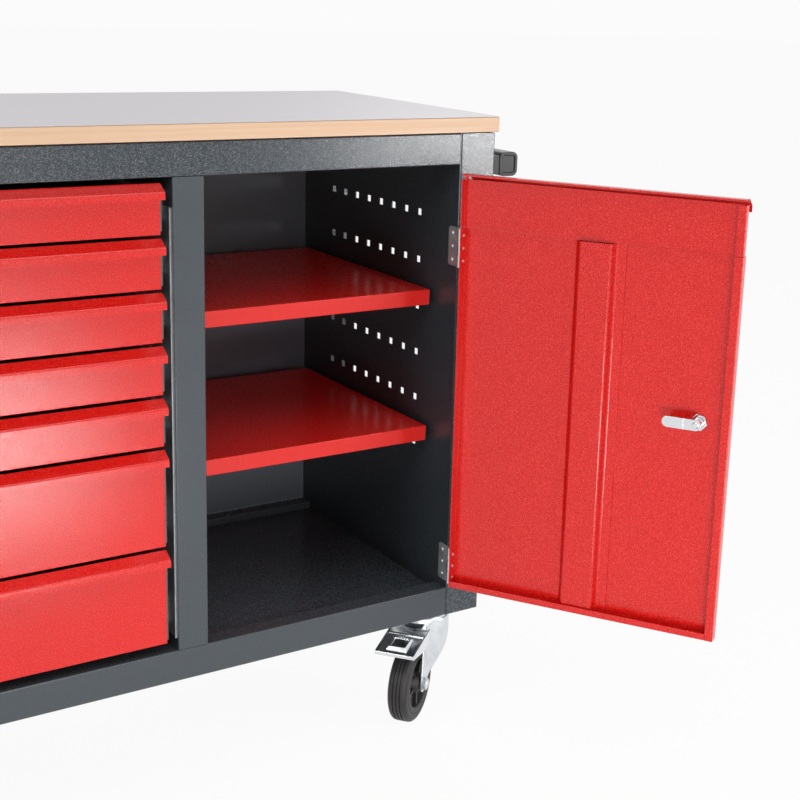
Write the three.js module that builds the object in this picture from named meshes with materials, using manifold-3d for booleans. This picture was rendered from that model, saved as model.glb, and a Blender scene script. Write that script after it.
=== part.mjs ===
// Mobile workbench: a drawer stack on the left, a cabinet with one door on the right.
// Millimetres, +Z up, -Y is the front. The origin lies on the floor under the middle of the bench.
import * as THREE from 'three';
import { mergeVertices } from 'three/addons/utils/BufferGeometryUtils.js';
import Module from 'manifold-3d';

const wasm = await Module();
wasm.setup();

// Overall sizes
const frameDepth = 478;
const frameHeight = 752;
const casterHeight = 185;
const cabinetBayWidth = 400;
const drawerBayWidth = 600;
const postWidth = 61;
const centrePostWidth = 44;
const centrePostDepth = 40;

// Worktop
const worktopThickness = 23;
const laminateThickness = 1;
const worktopOverhang = 4;

// Frame sheet work
const frameSheet = 1.5;
const seatGap = 0.3;
const railHeight = 46;
const railDepth = 30;
const backPanelInset = 2;
const floorDrop = 12;
const floorFold = 20;
const postFootThickness = 4;

// Perforated side panels: square holes in columns and rows, counted from the top
const holeSize = 10;
const holePitch = 38;
const holeColumns = 8;
const holeRowPitch = 73;
const holeRows = 6;
const topHoleRowBelowFrameTop = 130;

// Shelves and the lanced tabs that carry them
const shelfDepth = 392;
const shelfSideClearance = 8;
const shelfFlange = 24;
const shelfSheet = 1.2;
const shelfFrontSetback = 58;
const shelfHole = 8;
const tabHeights = { upper: 487, lower: 272 };
const tabReach = 20;
const tabWidth = 24;
const tabEndInset = 25;

// Drawers: shallow ones above deep ones, which fill the bay in steps of one unit
const drawerUnits = [1, 1, 1, 1, 1, 2, 2];
const drawerGap = 5;
const drawerTopClearance = 8;
const drawerBottomClearance = 14.4;
const drawerSideClearance = 17;
const frontSheet = 1.2;
const frontReturn = 12;
const lipReach = 17;
const lipDrop = 10;
const lipFlange = 9;
const boxSheet = 1;
const boxDepth = 440;
const boxSideInset = 4;
const boxHeightBelowFront = 14;
const boxFloorLift = 4;
const runnerHeight = 8;
const runnerReach = 12;
const ledgeReach = 12;
const ledgeThickness = 2;

// Door, in front of the frame, turned open about its hinge axis
const doorOpenAngle = 122;
const hingeAxisInset = 2.5;
const doorPanDepth = 18;
const doorFrameGap = 1;
const doorSheet = 1.2;
const doorHingeClearance = 4;
const doorOverlap = 24.5;
const doorBottomClearance = 9;
const doorTopClearance = 11;
const doorHeadHeight = 78;
const doorHeadRecess = 6;
const doorFreeReturn = 12;
const doorBottomReturn = 10;
const doorTopReturn = 6;
const stiffenerFromHinge = 210;
const stiffenerTopWidth = 48;
const stiffenerFlange = 20;
const stiffenerDepth = 12;

// Hinges
const hingeHeight = 58;
const hingeBelowDoorTop = 81;
const hingeAboveDoorBottom = 3;
const hingeBarrelRadius = 3.2;
const hingePinRadius = 1.6;
const hingePinClearance = 0.2;
const hingeLeaf = 1.5;
const hingeFrameLeafReach = 21;
const hingeDoorLeafReach = 8;
const hingeKnuckles = 3;

// Cam lock in the door
const lockFromFreeEdge = 47;
const lockBarrelRadius = 8;
const lockHeadRadius = 12;
const lockHeadThickness = 3;
const lockNutAcross = 22;
const lockNutThickness = 5;
const camLength = 49;
const camWidth = 16;
const camThickness = 2;
const camScrewRadius = 5;
const camScrewHeight = 2.5;
const camBehindPost = 1;

// Push handle on the right end
const handleWidth = 33;
const handleHeight = 36;
const handleCorner = 7;
const handleStandOff = 18;
const handleBelowFrameTop = 50;
const handleEndInset = 12;
const handleBracketLength = 40;
const handleBracketHeight = 28;

// Casters: swivel with pedal on the right, fixed on the left
const wheelRadius = 63;
const wheelWidth = 33;
const wheelShoulder = 6;
const rimRadius = 40;
const rimRecess = 9;
const hubRadius = 14;
const hubWidth = 38;
const axleRadius = 5;
const axleClearance = 0.4;
const forkGap = 42;
const forkSheet = 3;
const forkCheekFoot = 16;
const forkCheekInset = 4;
const forkCheekStraight = 40;
const axleEndReach = 7;
const crownRadius = 40;
const crownThickness = 6;
const raceRadius = 30;
const casterPlateLength = 100;
const casterPlateWidth = 85;
const casterPlateThickness = 4;
const casterRaceDepth = 4;
const casterFromPostInside = 0;
const casterFromFront = 69;
const casterTrail = 46;
const casterYaw = -142;
const pedalWidth = 64;
const pedalThickness = 3;
const pedalPivotReach = 8;
const pedalBelowCrown = 10.4;
const pedalTipReach = 120;
const pedalAboveWheel = 15;
const pedalRim = 12;
const pedalTreadStart = 42;
const pedalNeckClearance = 2;
const pedalKnuckleRadius = 7;
const pedalPinRadius = 3;

const roundSegments = 32;
const smallRoundSegments = 16;

// Places worked out from the sizes
const frameWidth = 2 * postWidth + cabinetBayWidth + centrePostWidth + drawerBayWidth;
const right = frameWidth / 2;
const left = -right;
const front = -frameDepth / 2;
const back = frameDepth / 2;
const base = casterHeight;
const frameTop = base + frameHeight;
const bayBottom = base + railHeight;
const bayTop = frameTop - railHeight;
const cabinetRight = right - postWidth;
const cabinetLeft = cabinetRight - cabinetBayWidth;
const drawerBayRight = cabinetLeft - centrePostWidth;
const drawerBayLeft = left + postWidth;
const floorTop = bayBottom - floorDrop;
const drawerStack = bayTop - drawerTopClearance - bayBottom - drawerBottomClearance + drawerGap;
const drawerUnit = drawerStack / drawerUnits.reduce((sum, units) => sum + units);
const backPanelFront = back - backPanelInset - frameSheet;
const hingeAxisX = cabinetRight - hingeAxisInset;
const hingeAxisY = front - doorFrameGap - doorPanDepth / 2;
const doorBottom = bayBottom + doorBottomClearance;
const doorTop = bayTop - doorTopClearance;
const lockHeight = (doorBottom + doorTop) / 2;
const casterPlateTop = base - seatGap;
const casterPlateBottom = casterPlateTop - casterPlateThickness;
const swivelCrownTop = casterPlateBottom - casterRaceDepth - seatGap;
const pedalPivotHeight = swivelCrownTop - crownThickness - pedalBelowCrown;
const pedalTipHeight = 2 * wheelRadius + pedalAboveWheel;

const colours = {
  anthracite: 0x3c444a,
  red: 0xd2201f,
  zinc: 0xc9ced2,
  laminate: 0xc4c5ca,
  beech: 0xe6c296,
  rubber: 0x232224,
  grip: 0x2b2c2f,
};

const bench = new THREE.Group();

// Adds one named sub-part with a material of its own.
function addPart(parent, name, geometry, colour, roughness, metalness) {
  const material = new THREE.MeshStandardMaterial({ color: colour, roughness, metalness });
  const mesh = new THREE.Mesh(geometry, material);
  mesh.name = name;
  parent.add(mesh);
  return mesh;
}

function addFrameSheet(parent, name, geometry) {
  return addPart(parent, name, geometry, colours.anthracite, 0.6, 0.1);
}

function addRedSheet(parent, name, geometry) {
  return addPart(parent, name, geometry, colours.red, 0.5, 0.0);
}

function addZinc(parent, name, geometry) {
  return addPart(parent, name, geometry, colours.zinc, 0.35, 0.9);
}

// A box between two corners, with the corners exactly where they are given.
function box(x0, x1, y0, y1, z0, z1) {
  const geometry = new THREE.BoxGeometry(1, 1, 1);
  const position = geometry.attributes.position;
  for (let i = 0; i < position.count; i += 1) {
    const x = position.getX(i) < 0 ? x0 : x1;
    const y = position.getY(i) < 0 ? y0 : y1;
    const z = position.getZ(i) < 0 ? z0 : z1;
    position.setXYZ(i, x, y, z);
  }
  return geometry;
}

function toSolid(geometry) {
  const bare = new THREE.BufferGeometry();
  bare.setAttribute('position', geometry.attributes.position.clone());
  if (geometry.index) {
    bare.setIndex(geometry.index.clone());
  }
  const merged = mergeVertices(bare, 1e-4);
  const vertProperties = new Float32Array(merged.attributes.position.array);
  const triVerts = new Uint32Array(merged.index.array);
  return new wasm.Manifold(new wasm.Mesh({ numProp: 3, vertProperties, triVerts }));
}

function toGeometry(solid) {
  const mesh = solid.getMesh();
  const geometry = new THREE.BufferGeometry();
  geometry.setAttribute('position', new THREE.BufferAttribute(new Float32Array(mesh.vertProperties), 3));
  geometry.setIndex(new THREE.BufferAttribute(new Uint32Array(mesh.triVerts), 1));
  geometry.computeVertexNormals();
  return geometry;
}

function join(...geometries) {
  const solids = geometries.map(toSolid);
  return toGeometry(solids.reduce((whole, solid) => whole.add(solid)));
}

function cut(geometry, ...tools) {
  const solids = tools.map(toSolid);
  return toGeometry(solids.reduce((whole, solid) => whole.subtract(solid), toSolid(geometry)));
}

function outlineShape(points) {
  return new THREE.Shape(points.map(([u, v]) => new THREE.Vector2(u, v)));
}

// Outline in (y, z), extruded from x0 to x1.
function extrudeAlongX(shape, x0, x1) {
  const geometry = new THREE.ExtrudeGeometry(shape, { depth: x1 - x0, bevelEnabled: false });
  const basis = new THREE.Matrix4().makeBasis(
    new THREE.Vector3(0, 1, 0),
    new THREE.Vector3(0, 0, 1),
    new THREE.Vector3(1, 0, 0),
  );
  return geometry.applyMatrix4(basis).translate(x0, 0, 0);
}

// Outline in (x, z), extruded from y0 to y1.
function extrudeAlongY(shape, y0, y1) {
  const geometry = new THREE.ExtrudeGeometry(shape, { depth: y1 - y0, bevelEnabled: false });
  const basis = new THREE.Matrix4().makeBasis(
    new THREE.Vector3(1, 0, 0),
    new THREE.Vector3(0, 0, 1),
    new THREE.Vector3(0, -1, 0),
  );
  return geometry.applyMatrix4(basis).translate(0, y1, 0);
}

// Outline in (x, y), extruded from z0 to z1.
function extrudeAlongZ(shape, z0, z1) {
  const geometry = new THREE.ExtrudeGeometry(shape, { depth: z1 - z0, bevelEnabled: false });
  return geometry.translate(0, 0, z0);
}

// Unit normal to the right of the way from a to b.
function rightNormal(a, b) {
  const length = Math.hypot(b[0] - a[0], b[1] - a[1]);
  return [(b[1] - a[1]) / length, (a[0] - b[0]) / length];
}

// Outline of a folded sheet: the path is one face, and the sheet's thickness lies to its right.
function foldedSheet(path, thickness) {
  const last = path.length - 1;
  const otherFace = path.map((point, i) => {
    const before = rightNormal(path[Math.max(i - 1, 0)], path[Math.max(i, 1)]);
    const after = rightNormal(path[Math.min(i, last - 1)], path[Math.min(i + 1, last)]);
    const spread = thickness / (1 + before[0] * after[0] + before[1] * after[1]);
    return [point[0] + (before[0] + after[0]) * spread, point[1] + (before[1] + after[1]) * spread];
  });
  return outlineShape([...path, ...otherFace.reverse()]);
}

// Cylinder with its axis along Y, between two places on that axis.
function pegAlongY(x, y0, y1, z, radius, segments = smallRoundSegments) {
  const geometry = new THREE.CylinderGeometry(radius, radius, y1 - y0, segments);
  return geometry.translate(x, (y0 + y1) / 2, z);
}

function pegAlongZ(x, y, z0, z1, radius, segments = smallRoundSegments) {
  const geometry = new THREE.CylinderGeometry(radius, radius, z1 - z0, segments);
  return geometry.rotateX(Math.PI / 2).translate(x, y, (z0 + z1) / 2);
}

// Rectangular tube along X, open at both ends.
function tubeAlongX(x0, x1, y0, y1, z0, z1, wall) {
  const bore = box(x0 - 1, x1 + 1, y0 + wall, y1 - wall, z0 + wall, z1 - wall);
  return cut(box(x0, x1, y0, y1, z0, z1), bore);
}

function buildWorktop() {
  const x1 = right + worktopOverhang;
  const y1 = back + worktopOverhang;
  const boardBottom = frameTop + seatGap;
  const boardTop = frameTop + worktopThickness - laminateThickness;
  const board = box(-x1, x1, -y1, y1, boardBottom, boardTop - seatGap);
  addPart(bench, 'worktop_board', board, colours.beech, 0.55, 0.0);
  const laminate = box(-x1, x1, -y1, y1, boardTop, boardTop + laminateThickness);
  addPart(bench, 'worktop_laminate', laminate, colours.laminate, 0.45, 0.0);
}

// Corner posts are square tubes, closed by a foot plate and standing outside the side panels.
function buildCornerPosts() {
  const inside = cabinetRight + frameSheet + seatGap;
  const corners = [
    { name: 'post_front_right', x0: inside, x1: right, y0: front, y1: front + postWidth },
    { name: 'post_rear_right', x0: inside, x1: right, y0: back - postWidth, y1: back },
    { name: 'post_front_left', x0: left, x1: -inside, y0: front, y1: front + postWidth },
    { name: 'post_rear_left', x0: left, x1: -inside, y0: back - postWidth, y1: back },
  ];
  for (const { name, x0, x1, y0, y1 } of corners) {
    const tube = box(x0, x1, y0, y1, base, frameTop);
    const bore = box(
      x0 + frameSheet,
      x1 - frameSheet,
      y0 + frameSheet,
      y1 - frameSheet,
      base + postFootThickness,
      frameTop + 1,
    );
    addFrameSheet(bench, name, cut(tube, bore));
  }
}

function buildRails() {
  const x1 = cabinetRight - seatGap;
  const rails = [
    { name: 'top_rail_front', y0: front, z0: bayTop },
    { name: 'top_rail_rear', y0: back - railDepth, z0: bayTop },
    { name: 'bottom_rail_front', y0: front, z0: base },
    { name: 'bottom_rail_rear', y0: back - railDepth, z0: base },
  ];
  for (const { name, y0, z0 } of rails) {
    const rail = tubeAlongX(-x1, x1, y0, y0 + railDepth, z0, z0 + railHeight, frameSheet);
    addFrameSheet(bench, name, rail);
  }
}

// The centre post is a channel open to the rear, slotted on its cabinet side for the lock's cam.
function buildCentrePost() {
  const path = [
    [drawerBayRight, front + centrePostDepth],
    [drawerBayRight, front],
    [cabinetLeft, front],
    [cabinetLeft, front + centrePostDepth],
  ];
  const outline = foldedSheet(path.reverse(), frameSheet);
  const channel = extrudeAlongZ(outline, bayBottom + seatGap, bayTop - seatGap);
  const slot = box(
    cabinetLeft - 2 * frameSheet,
    cabinetLeft + 1,
    front + frameSheet,
    front + centrePostDepth / 2,
    lockHeight - camWidth,
    lockHeight + camLength + camWidth,
  );
  addFrameSheet(bench, 'centre_post', cut(channel, slot));
}

// Floor sheet of both bays, with its edges folded down against the rails.
function buildFloor() {
  const x1 = cabinetRight - seatGap;
  const y0 = front + railDepth + seatGap;
  const y1 = back - railDepth - seatGap;
  const path = [
    [y0, floorTop - floorFold],
    [y0, floorTop],
    [y1, floorTop],
    [y1, floorTop - floorFold],
  ];
  addFrameSheet(bench, 'floor_panel', extrudeAlongX(foldedSheet(path, frameSheet), -x1, x1));
}

function buildBackPanel() {
  const x1 = cabinetRight - seatGap;
  const panel = box(
    -x1,
    x1,
    backPanelFront,
    backPanelFront + frameSheet,
    bayBottom + seatGap,
    bayTop - seatGap,
  );
  addFrameSheet(bench, 'back_panel', panel);
}

// Lanced tabs of one wall: plates that stand into the cabinet from x0 to x1.
function shelfTabs(x0, x1) {
  const shelfFront = front + shelfFrontSetback;
  const firstTab = shelfFront + tabEndInset;
  const lastTab = shelfFront + shelfDepth - tabEndInset - tabWidth;
  const tabs = [];
  for (const height of Object.values(tabHeights)) {
    const top = base + height;
    for (const y0 of [firstTab, lastTab]) {
      tabs.push(box(x0, x1, y0, y0 + tabWidth, top - frameSheet, top));
    }
  }
  return tabs;
}

// Perforated side panel: a web inside the posts, folded out between them at the top and bottom.
function sidePanel(side) {
  const inner = cabinetRight;
  const outer = cabinetRight + frameSheet;
  const web = box(inner, outer, front, back, base, frameTop);
  const firstColumn = -((holeColumns - 1) * holePitch) / 2;
  const half = holeSize / 2;
  const holes = [];
  for (let column = 0; column < holeColumns; column += 1) {
    const y = firstColumn + column * holePitch;
    for (let row = 0; row < holeRows; row += 1) {
      const z = frameTop - topHoleRowBelowFrameTop - row * holeRowPitch;
      holes.push(box(inner - 1, outer + 1, y - half, y + half, z - half, z + half));
    }
  }
  const y1 = back - postWidth - seatGap;
  const pieces = [cut(web, ...holes)];
  for (const [edge, turn] of [[frameTop, -1], [base, 1]]) {
    const sheet = [edge, edge + turn * frameSheet].sort((a, b) => a - b);
    const drop = [edge, edge + turn * railHeight].sort((a, b) => a - b);
    pieces.push(box(inner, right, -y1, y1, ...sheet));
    pieces.push(box(right - frameSheet, right, -y1, y1, ...drop));
  }
  if (side > 0) {
    pieces.push(...shelfTabs(inner - tabReach, outer));
  }
  const panel = join(...pieces);
  return side > 0 ? panel : panel.rotateZ(Math.PI);
}

function buildSidePanels() {
  addFrameSheet(bench, 'side_panel_right', sidePanel(1));
  addFrameSheet(bench, 'side_panel_left', sidePanel(-1));
}

// Two sheets stand between the bays: one with shelf tabs, one that carries drawer runners.
function buildPartitions() {
  const y0 = front + centrePostDepth + seatGap;
  const y1 = backPanelFront - seatGap;
  const z0 = floorTop + seatGap;
  const z1 = bayTop - seatGap;
  const railY = back - railDepth - seatGap;
  const railNotch = box(drawerBayRight - 1, cabinetLeft + 1, railY, back, base, bayBottom + seatGap);
  const cabinetSheet = box(cabinetLeft - frameSheet, cabinetLeft, y0, y1, z0, z1);
  const tabs = shelfTabs(cabinetLeft - frameSheet, cabinetLeft + tabReach);
  addFrameSheet(bench, 'partition_cabinet_side', join(cut(cabinetSheet, railNotch), ...tabs));
  const drawerSheet = box(drawerBayRight, drawerBayRight + frameSheet, y0, y1, z0, z1);
  addFrameSheet(bench, 'partition_drawer_side', cut(drawerSheet, railNotch));
}

// Top edge of each drawer front, from the top of the stack down.
function drawerLevels() {
  const levels = [];
  let top = bayTop - drawerTopClearance;
  for (const units of drawerUnits) {
    const pitch = units * drawerUnit;
    levels.push({ top, height: pitch - drawerGap });
    top -= pitch;
  }
  return levels;
}

function runnerLevel(level) {
  return level.top - level.height + boxFloorLift + boxHeightBelowFront;
}

// Runner racks: a zinc upright on each side of the drawer bay with one ledge for each drawer.
function buildRunnerRacks() {
  const levels = drawerLevels();
  const y0 = front + centrePostDepth + seatGap;
  const y1 = y0 + boxDepth - centrePostDepth;
  const sides = [
    { name: 'runner_rack_right', wall: drawerBayRight - seatGap, turn: -1 },
    { name: 'runner_rack_left', wall: drawerBayLeft + seatGap, turn: 1 },
  ];
  for (const { name, wall, turn } of sides) {
    const upright = [wall, wall + turn * frameSheet].sort((a, b) => a - b);
    const ledge = [wall, wall + turn * ledgeReach].sort((a, b) => a - b);
    const lowest = runnerLevel(levels[levels.length - 1]) - 2 * runnerHeight;
    const highest = runnerLevel(levels[0]) + 2 * runnerHeight;
    const pieces = [box(...upright, y0, y1, lowest, highest)];
    for (const level of levels) {
      const z1 = runnerLevel(level) - seatGap;
      pieces.push(box(...ledge, y0, y1, z1 - ledgeThickness, z1));
    }
    addZinc(bench, name, join(...pieces));
  }
}

// Drawer front: one folded sheet, with a return at the bottom and a grip lip along the top.
function drawerFront(level) {
  const bottom = level.top - level.height;
  const path = [
    [front + frontReturn, bottom],
    [front, bottom],
    [front, level.top],
    [front - lipReach, level.top - lipDrop],
    [front - lipReach, level.top - lipDrop - lipFlange],
  ];
  const x0 = drawerBayLeft + drawerSideClearance;
  const x1 = drawerBayRight - drawerSideClearance;
  return extrudeAlongX(foldedSheet(path, frontSheet), x0, x1);
}

// Drawer box: an open tray with a runner along each side.
function drawerBox(level) {
  const x0 = drawerBayLeft + drawerSideClearance + boxSideInset;
  const x1 = drawerBayRight - drawerSideClearance - boxSideInset;
  const y0 = front + frontSheet + seatGap;
  const y1 = y0 + boxDepth;
  const z0 = level.top - level.height + boxFloorLift;
  const z1 = level.top - boxHeightBelowFront;
  const tray = box(x0, x1, y0, y1, z0, z1);
  const inside = box(x0 + boxSheet, x1 - boxSheet, y0 + boxSheet, y1 - boxSheet, z0 + boxSheet, z1 + 1);
  const runnerBottom = runnerLevel(level);
  const runnerTop = runnerBottom + runnerHeight;
  const runnerStart = front + centrePostDepth + seatGap;
  const shell = cut(tray, inside);
  const rightRunner = box(x1 - boxSheet, x1 + runnerReach, runnerStart, y1, runnerBottom, runnerTop);
  const leftRunner = box(x0 - runnerReach, x0 + boxSheet, runnerStart, y1, runnerBottom, runnerTop);
  return join(shell, rightRunner, leftRunner);
}

// Each box stands close behind its front, above the front's bottom return.
function buildDrawers() {
  drawerLevels().forEach((level, i) => {
    addRedSheet(bench, `drawer_front_${i + 1}`, drawerFront(level));
    addPart(bench, `drawer_box_${i + 1}`, drawerBox(level), colours.anthracite, 0.6, 0.1);
  });
}

// Shelf: a tray turned upside down, with a square hole in its left flange.
function shelf(tabTop) {
  const x0 = cabinetLeft + shelfSideClearance;
  const x1 = cabinetRight - shelfSideClearance;
  const y0 = front + shelfFrontSetback;
  const y1 = y0 + shelfDepth;
  const z0 = base + tabTop + seatGap;
  const z1 = z0 + shelfFlange;
  const inside = box(x0 + shelfSheet, x1 - shelfSheet, y0 + shelfSheet, y1 - shelfSheet, z0 - 1, z1 - shelfSheet);
  const holeY = (y0 + y1) / 2;
  const holeZ = (z0 + z1) / 2;
  const half = shelfHole / 2;
  const hole = box(x0 - 1, x0 + 2 * shelfSheet, holeY - half, holeY + half, holeZ - half, holeZ + half);
  return cut(box(x0, x1, y0, y1, z0, z1), inside, hole);
}

function buildShelves() {
  addRedSheet(bench, 'shelf_upper', shelf(tabHeights.upper));
  addRedSheet(bench, 'shelf_lower', shelf(tabHeights.lower));
}

// Door pieces are laid out shut, with the hinge axis at x = 0, y = 0 and the free edge towards -X.
const doorFreeX = cabinetLeft - doorOverlap - hingeAxisX;
const doorHingeX = -doorHingeClearance;
const doorRimY = doorPanDepth / 2;
const doorSkinY = -doorPanDepth / 2;
const doorHeadBottom = doorTop - doorHeadHeight;
const doorHeadSkinY = doorSkinY + doorHeadRecess;
const frameFaceY = front - hingeAxisY;
const lockX = doorFreeX + lockFromFreeEdge;
const camY = frameFaceY + frameSheet + camBehindPost;

// Door panel: a pan whose rim is folded in at the free edge and the bottom.
function doorPanel() {
  const z1 = doorHeadBottom - seatGap;
  const pan = box(doorFreeX, doorHingeX, doorSkinY, doorRimY, doorBottom, z1);
  const cavity = box(
    doorFreeX + doorSheet,
    doorHingeX - doorSheet,
    doorSkinY + doorSheet,
    doorRimY - doorSheet,
    doorBottom + doorSheet,
    z1 - doorSheet,
  );
  const mouth = box(
    doorFreeX + doorFreeReturn,
    doorHingeX - doorSheet,
    doorHeadSkinY + doorSheet,
    doorRimY + 1,
    doorBottom + doorBottomReturn,
    z1 + 1,
  );
  const lockHole = pegAlongY(lockX, doorSkinY - 1, 0, lockHeight, lockBarrelRadius + seatGap);
  return cut(pan, cavity, mouth, lockHole);
}

// Door head: the recessed band above the panel, with the same grip lip as the drawers.
function doorHead() {
  const pan = box(doorFreeX, doorHingeX, doorHeadSkinY, doorRimY, doorHeadBottom, doorTop);
  const cavity = box(
    doorFreeX + doorSheet,
    doorHingeX - doorSheet,
    doorHeadSkinY + doorSheet,
    doorRimY - doorSheet,
    doorHeadBottom - 1,
    doorTop - doorSheet,
  );
  const mouth = box(
    doorFreeX + doorFreeReturn,
    doorHingeX - doorSheet,
    doorHeadSkinY + doorSheet,
    doorRimY + 1,
    doorHeadBottom - 1,
    doorTop - doorTopReturn,
  );
  const lipPath = [
    [doorHeadSkinY + doorSheet, doorTop - doorSheet],
    [doorHeadSkinY, doorTop - doorSheet],
    [doorHeadSkinY - lipReach, doorTop - doorSheet - lipDrop],
    [doorHeadSkinY - lipReach, doorTop - doorSheet - lipDrop - lipFlange],
  ];
  const lip = extrudeAlongX(foldedSheet(lipPath, doorSheet), doorFreeX, doorHingeX);
  return join(cut(pan, cavity, mouth), lip);
}

// Hat-shaped stiffener that stands on the inside of the door panel.
function doorStiffener() {
  const halfTop = stiffenerTopWidth / 2;
  const halfFoot = halfTop + stiffenerFlange;
  const centre = -stiffenerFromHinge;
  const foot = doorSkinY + doorSheet + seatGap;
  const crest = foot + stiffenerDepth;
  const path = [
    [centre - halfFoot, foot],
    [centre - halfTop, foot],
    [centre - halfTop, crest],
    [centre + halfTop, crest],
    [centre + halfTop, foot],
    [centre + halfFoot, foot],
  ];
  const outline = foldedSheet(path.reverse(), doorSheet);
  const z0 = doorBottom + doorSheet + seatGap;
  const z1 = doorHeadBottom - doorSheet - 2 * seatGap;
  return extrudeAlongZ(outline, z0, z1);
}

// Heights of one hinge's knuckles, alternately the frame's and the door's.
function knuckleSpans(hingeBottom) {
  const pitch = hingeHeight / hingeKnuckles;
  return Array.from({ length: hingeKnuckles }, (_, i) => [
    hingeBottom + i * pitch + (i > 0 ? seatGap : 0),
    hingeBottom + (i + 1) * pitch,
  ]);
}

// Frame leaf: a plate on the cabinet wall, its outer knuckles and the pin.
function hingeFrameLeaf(hingeBottom) {
  const plateX1 = hingeAxisInset - seatGap;
  const plateX0 = plateX1 - hingeLeaf;
  const plateStart = hingeBarrelRadius + seatGap;
  const plateEnd = frameFaceY + hingeFrameLeafReach;
  const plate = box(plateX0, plateX1, plateStart, plateEnd, hingeBottom, hingeBottom + hingeHeight);
  const spans = knuckleSpans(hingeBottom).filter((_, i) => i % 2 === 0);
  const knuckles = spans.map(([z0, z1]) => pegAlongZ(0, 0, z0, z1, hingeBarrelRadius));
  const necks = spans.map(([z0, z1]) => box(plateX0, plateX1, 0, plateStart + 1, z0, z1));
  const pin = pegAlongZ(0, 0, hingeBottom, hingeBottom + hingeHeight, hingePinRadius);
  return join(plate, ...knuckles, ...necks, pin);
}

// Door leaf: a plate on the door's hinge flange, with the bored middle knuckle.
function hingeDoorLeaf(hingeBottom) {
  const plateX0 = doorHingeX + seatGap;
  const plateX1 = plateX0 + hingeLeaf;
  const plate = box(
    plateX0,
    plateX1,
    -hingeDoorLeafReach,
    -hingeBarrelRadius - seatGap,
    hingeBottom,
    hingeBottom + hingeHeight,
  );
  const spans = knuckleSpans(hingeBottom).filter((_, i) => i % 2 === 1);
  const knuckles = spans.map(([z0, z1]) => pegAlongZ(0, 0, z0, z1, hingeBarrelRadius));
  const necks = spans.map(([z0, z1]) => box(plateX0, plateX1, -hingeBarrelRadius - 1, 0, z0, z1));
  const bore = pegAlongZ(
    0,
    0,
    hingeBottom - 1,
    hingeBottom + hingeHeight + 1,
    hingePinRadius + hingePinClearance,
  );
  return cut(join(plate, ...knuckles, ...necks), bore);
}

function hexagon(across) {
  const radius = across / Math.sqrt(3);
  return Array.from({ length: 6 }, (_, i) => {
    const angle = (i * Math.PI) / 3;
    return [radius * Math.cos(angle), radius * Math.sin(angle)];
  });
}

function buildLock(door) {
  const head = pegAlongY(
    lockX,
    doorSkinY - lockHeadThickness,
    doorSkinY - seatGap,
    lockHeight,
    lockHeadRadius,
    roundSegments,
  );
  const barrelEnd = camY - seatGap;
  const barrel = pegAlongY(lockX, doorSkinY - 1, barrelEnd, lockHeight, lockBarrelRadius);
  addZinc(door, 'lock_barrel', join(head, barrel));

  const nutStart = doorSkinY + doorSheet + seatGap;
  const hex = hexagon(lockNutAcross).map(([u, v]) => [lockX + u, lockHeight + v]);
  const nutBlank = extrudeAlongY(outlineShape(hex), nutStart, nutStart + lockNutThickness);
  const nutBore = pegAlongY(lockX, doorSkinY, camY, lockHeight, lockBarrelRadius + seatGap);
  addZinc(door, 'lock_nut', cut(nutBlank, nutBore));

  const half = camWidth / 2;
  const outline = new THREE.Shape();
  outline.moveTo(lockX, lockHeight - half);
  outline.lineTo(lockX + camLength - half, lockHeight - half);
  outline.absarc(lockX + camLength - half, lockHeight, half, -Math.PI / 2, Math.PI / 2, false);
  outline.lineTo(lockX, lockHeight + half);
  outline.absarc(lockX, lockHeight, half, Math.PI / 2, (3 * Math.PI) / 2, false);
  const plate = extrudeAlongY(outline, camY, camY + camThickness);
  const screwEnd = camY + camThickness + camScrewHeight;
  const screw = pegAlongY(lockX, camY + 1, screwEnd, lockHeight, camScrewRadius);
  addZinc(door, 'lock_cam', join(plate, screw));
}

function buildDoor() {
  const door = new THREE.Group();
  door.position.set(hingeAxisX, hingeAxisY, 0);
  door.rotation.z = THREE.MathUtils.degToRad(doorOpenAngle);
  bench.add(door);
  addRedSheet(door, 'door_panel', doorPanel());
  addRedSheet(door, 'door_head', doorHead());
  addRedSheet(door, 'door_stiffener', doorStiffener());
  buildLock(door);

  const wall = new THREE.Group();
  wall.position.set(hingeAxisX, hingeAxisY, 0);
  bench.add(wall);
  const hinges = {
    upper: doorTop - hingeBelowDoorTop - hingeHeight,
    lower: doorBottom + hingeAboveDoorBottom,
  };
  for (const [place, hingeBottom] of Object.entries(hinges)) {
    addZinc(wall, `hinge_${place}_frame_leaf`, hingeFrameLeaf(hingeBottom));
    addZinc(door, `hinge_${place}_door_leaf`, hingeDoorLeaf(hingeBottom));
  }
}

function roundedRectangle(u0, u1, v0, v1, radius) {
  const shape = new THREE.Shape();
  shape.moveTo(u0 + radius, v0);
  shape.lineTo(u1 - radius, v0);
  shape.absarc(u1 - radius, v0 + radius, radius, -Math.PI / 2, 0, false);
  shape.lineTo(u1, v1 - radius);
  shape.absarc(u1 - radius, v1 - radius, radius, 0, Math.PI / 2, false);
  shape.lineTo(u0 + radius, v1);
  shape.absarc(u0 + radius, v1 - radius, radius, Math.PI / 2, Math.PI, false);
  shape.lineTo(u0, v0 + radius);
  shape.absarc(u0 + radius, v0 + radius, radius, Math.PI, 1.5 * Math.PI, false);
  return shape;
}

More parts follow.
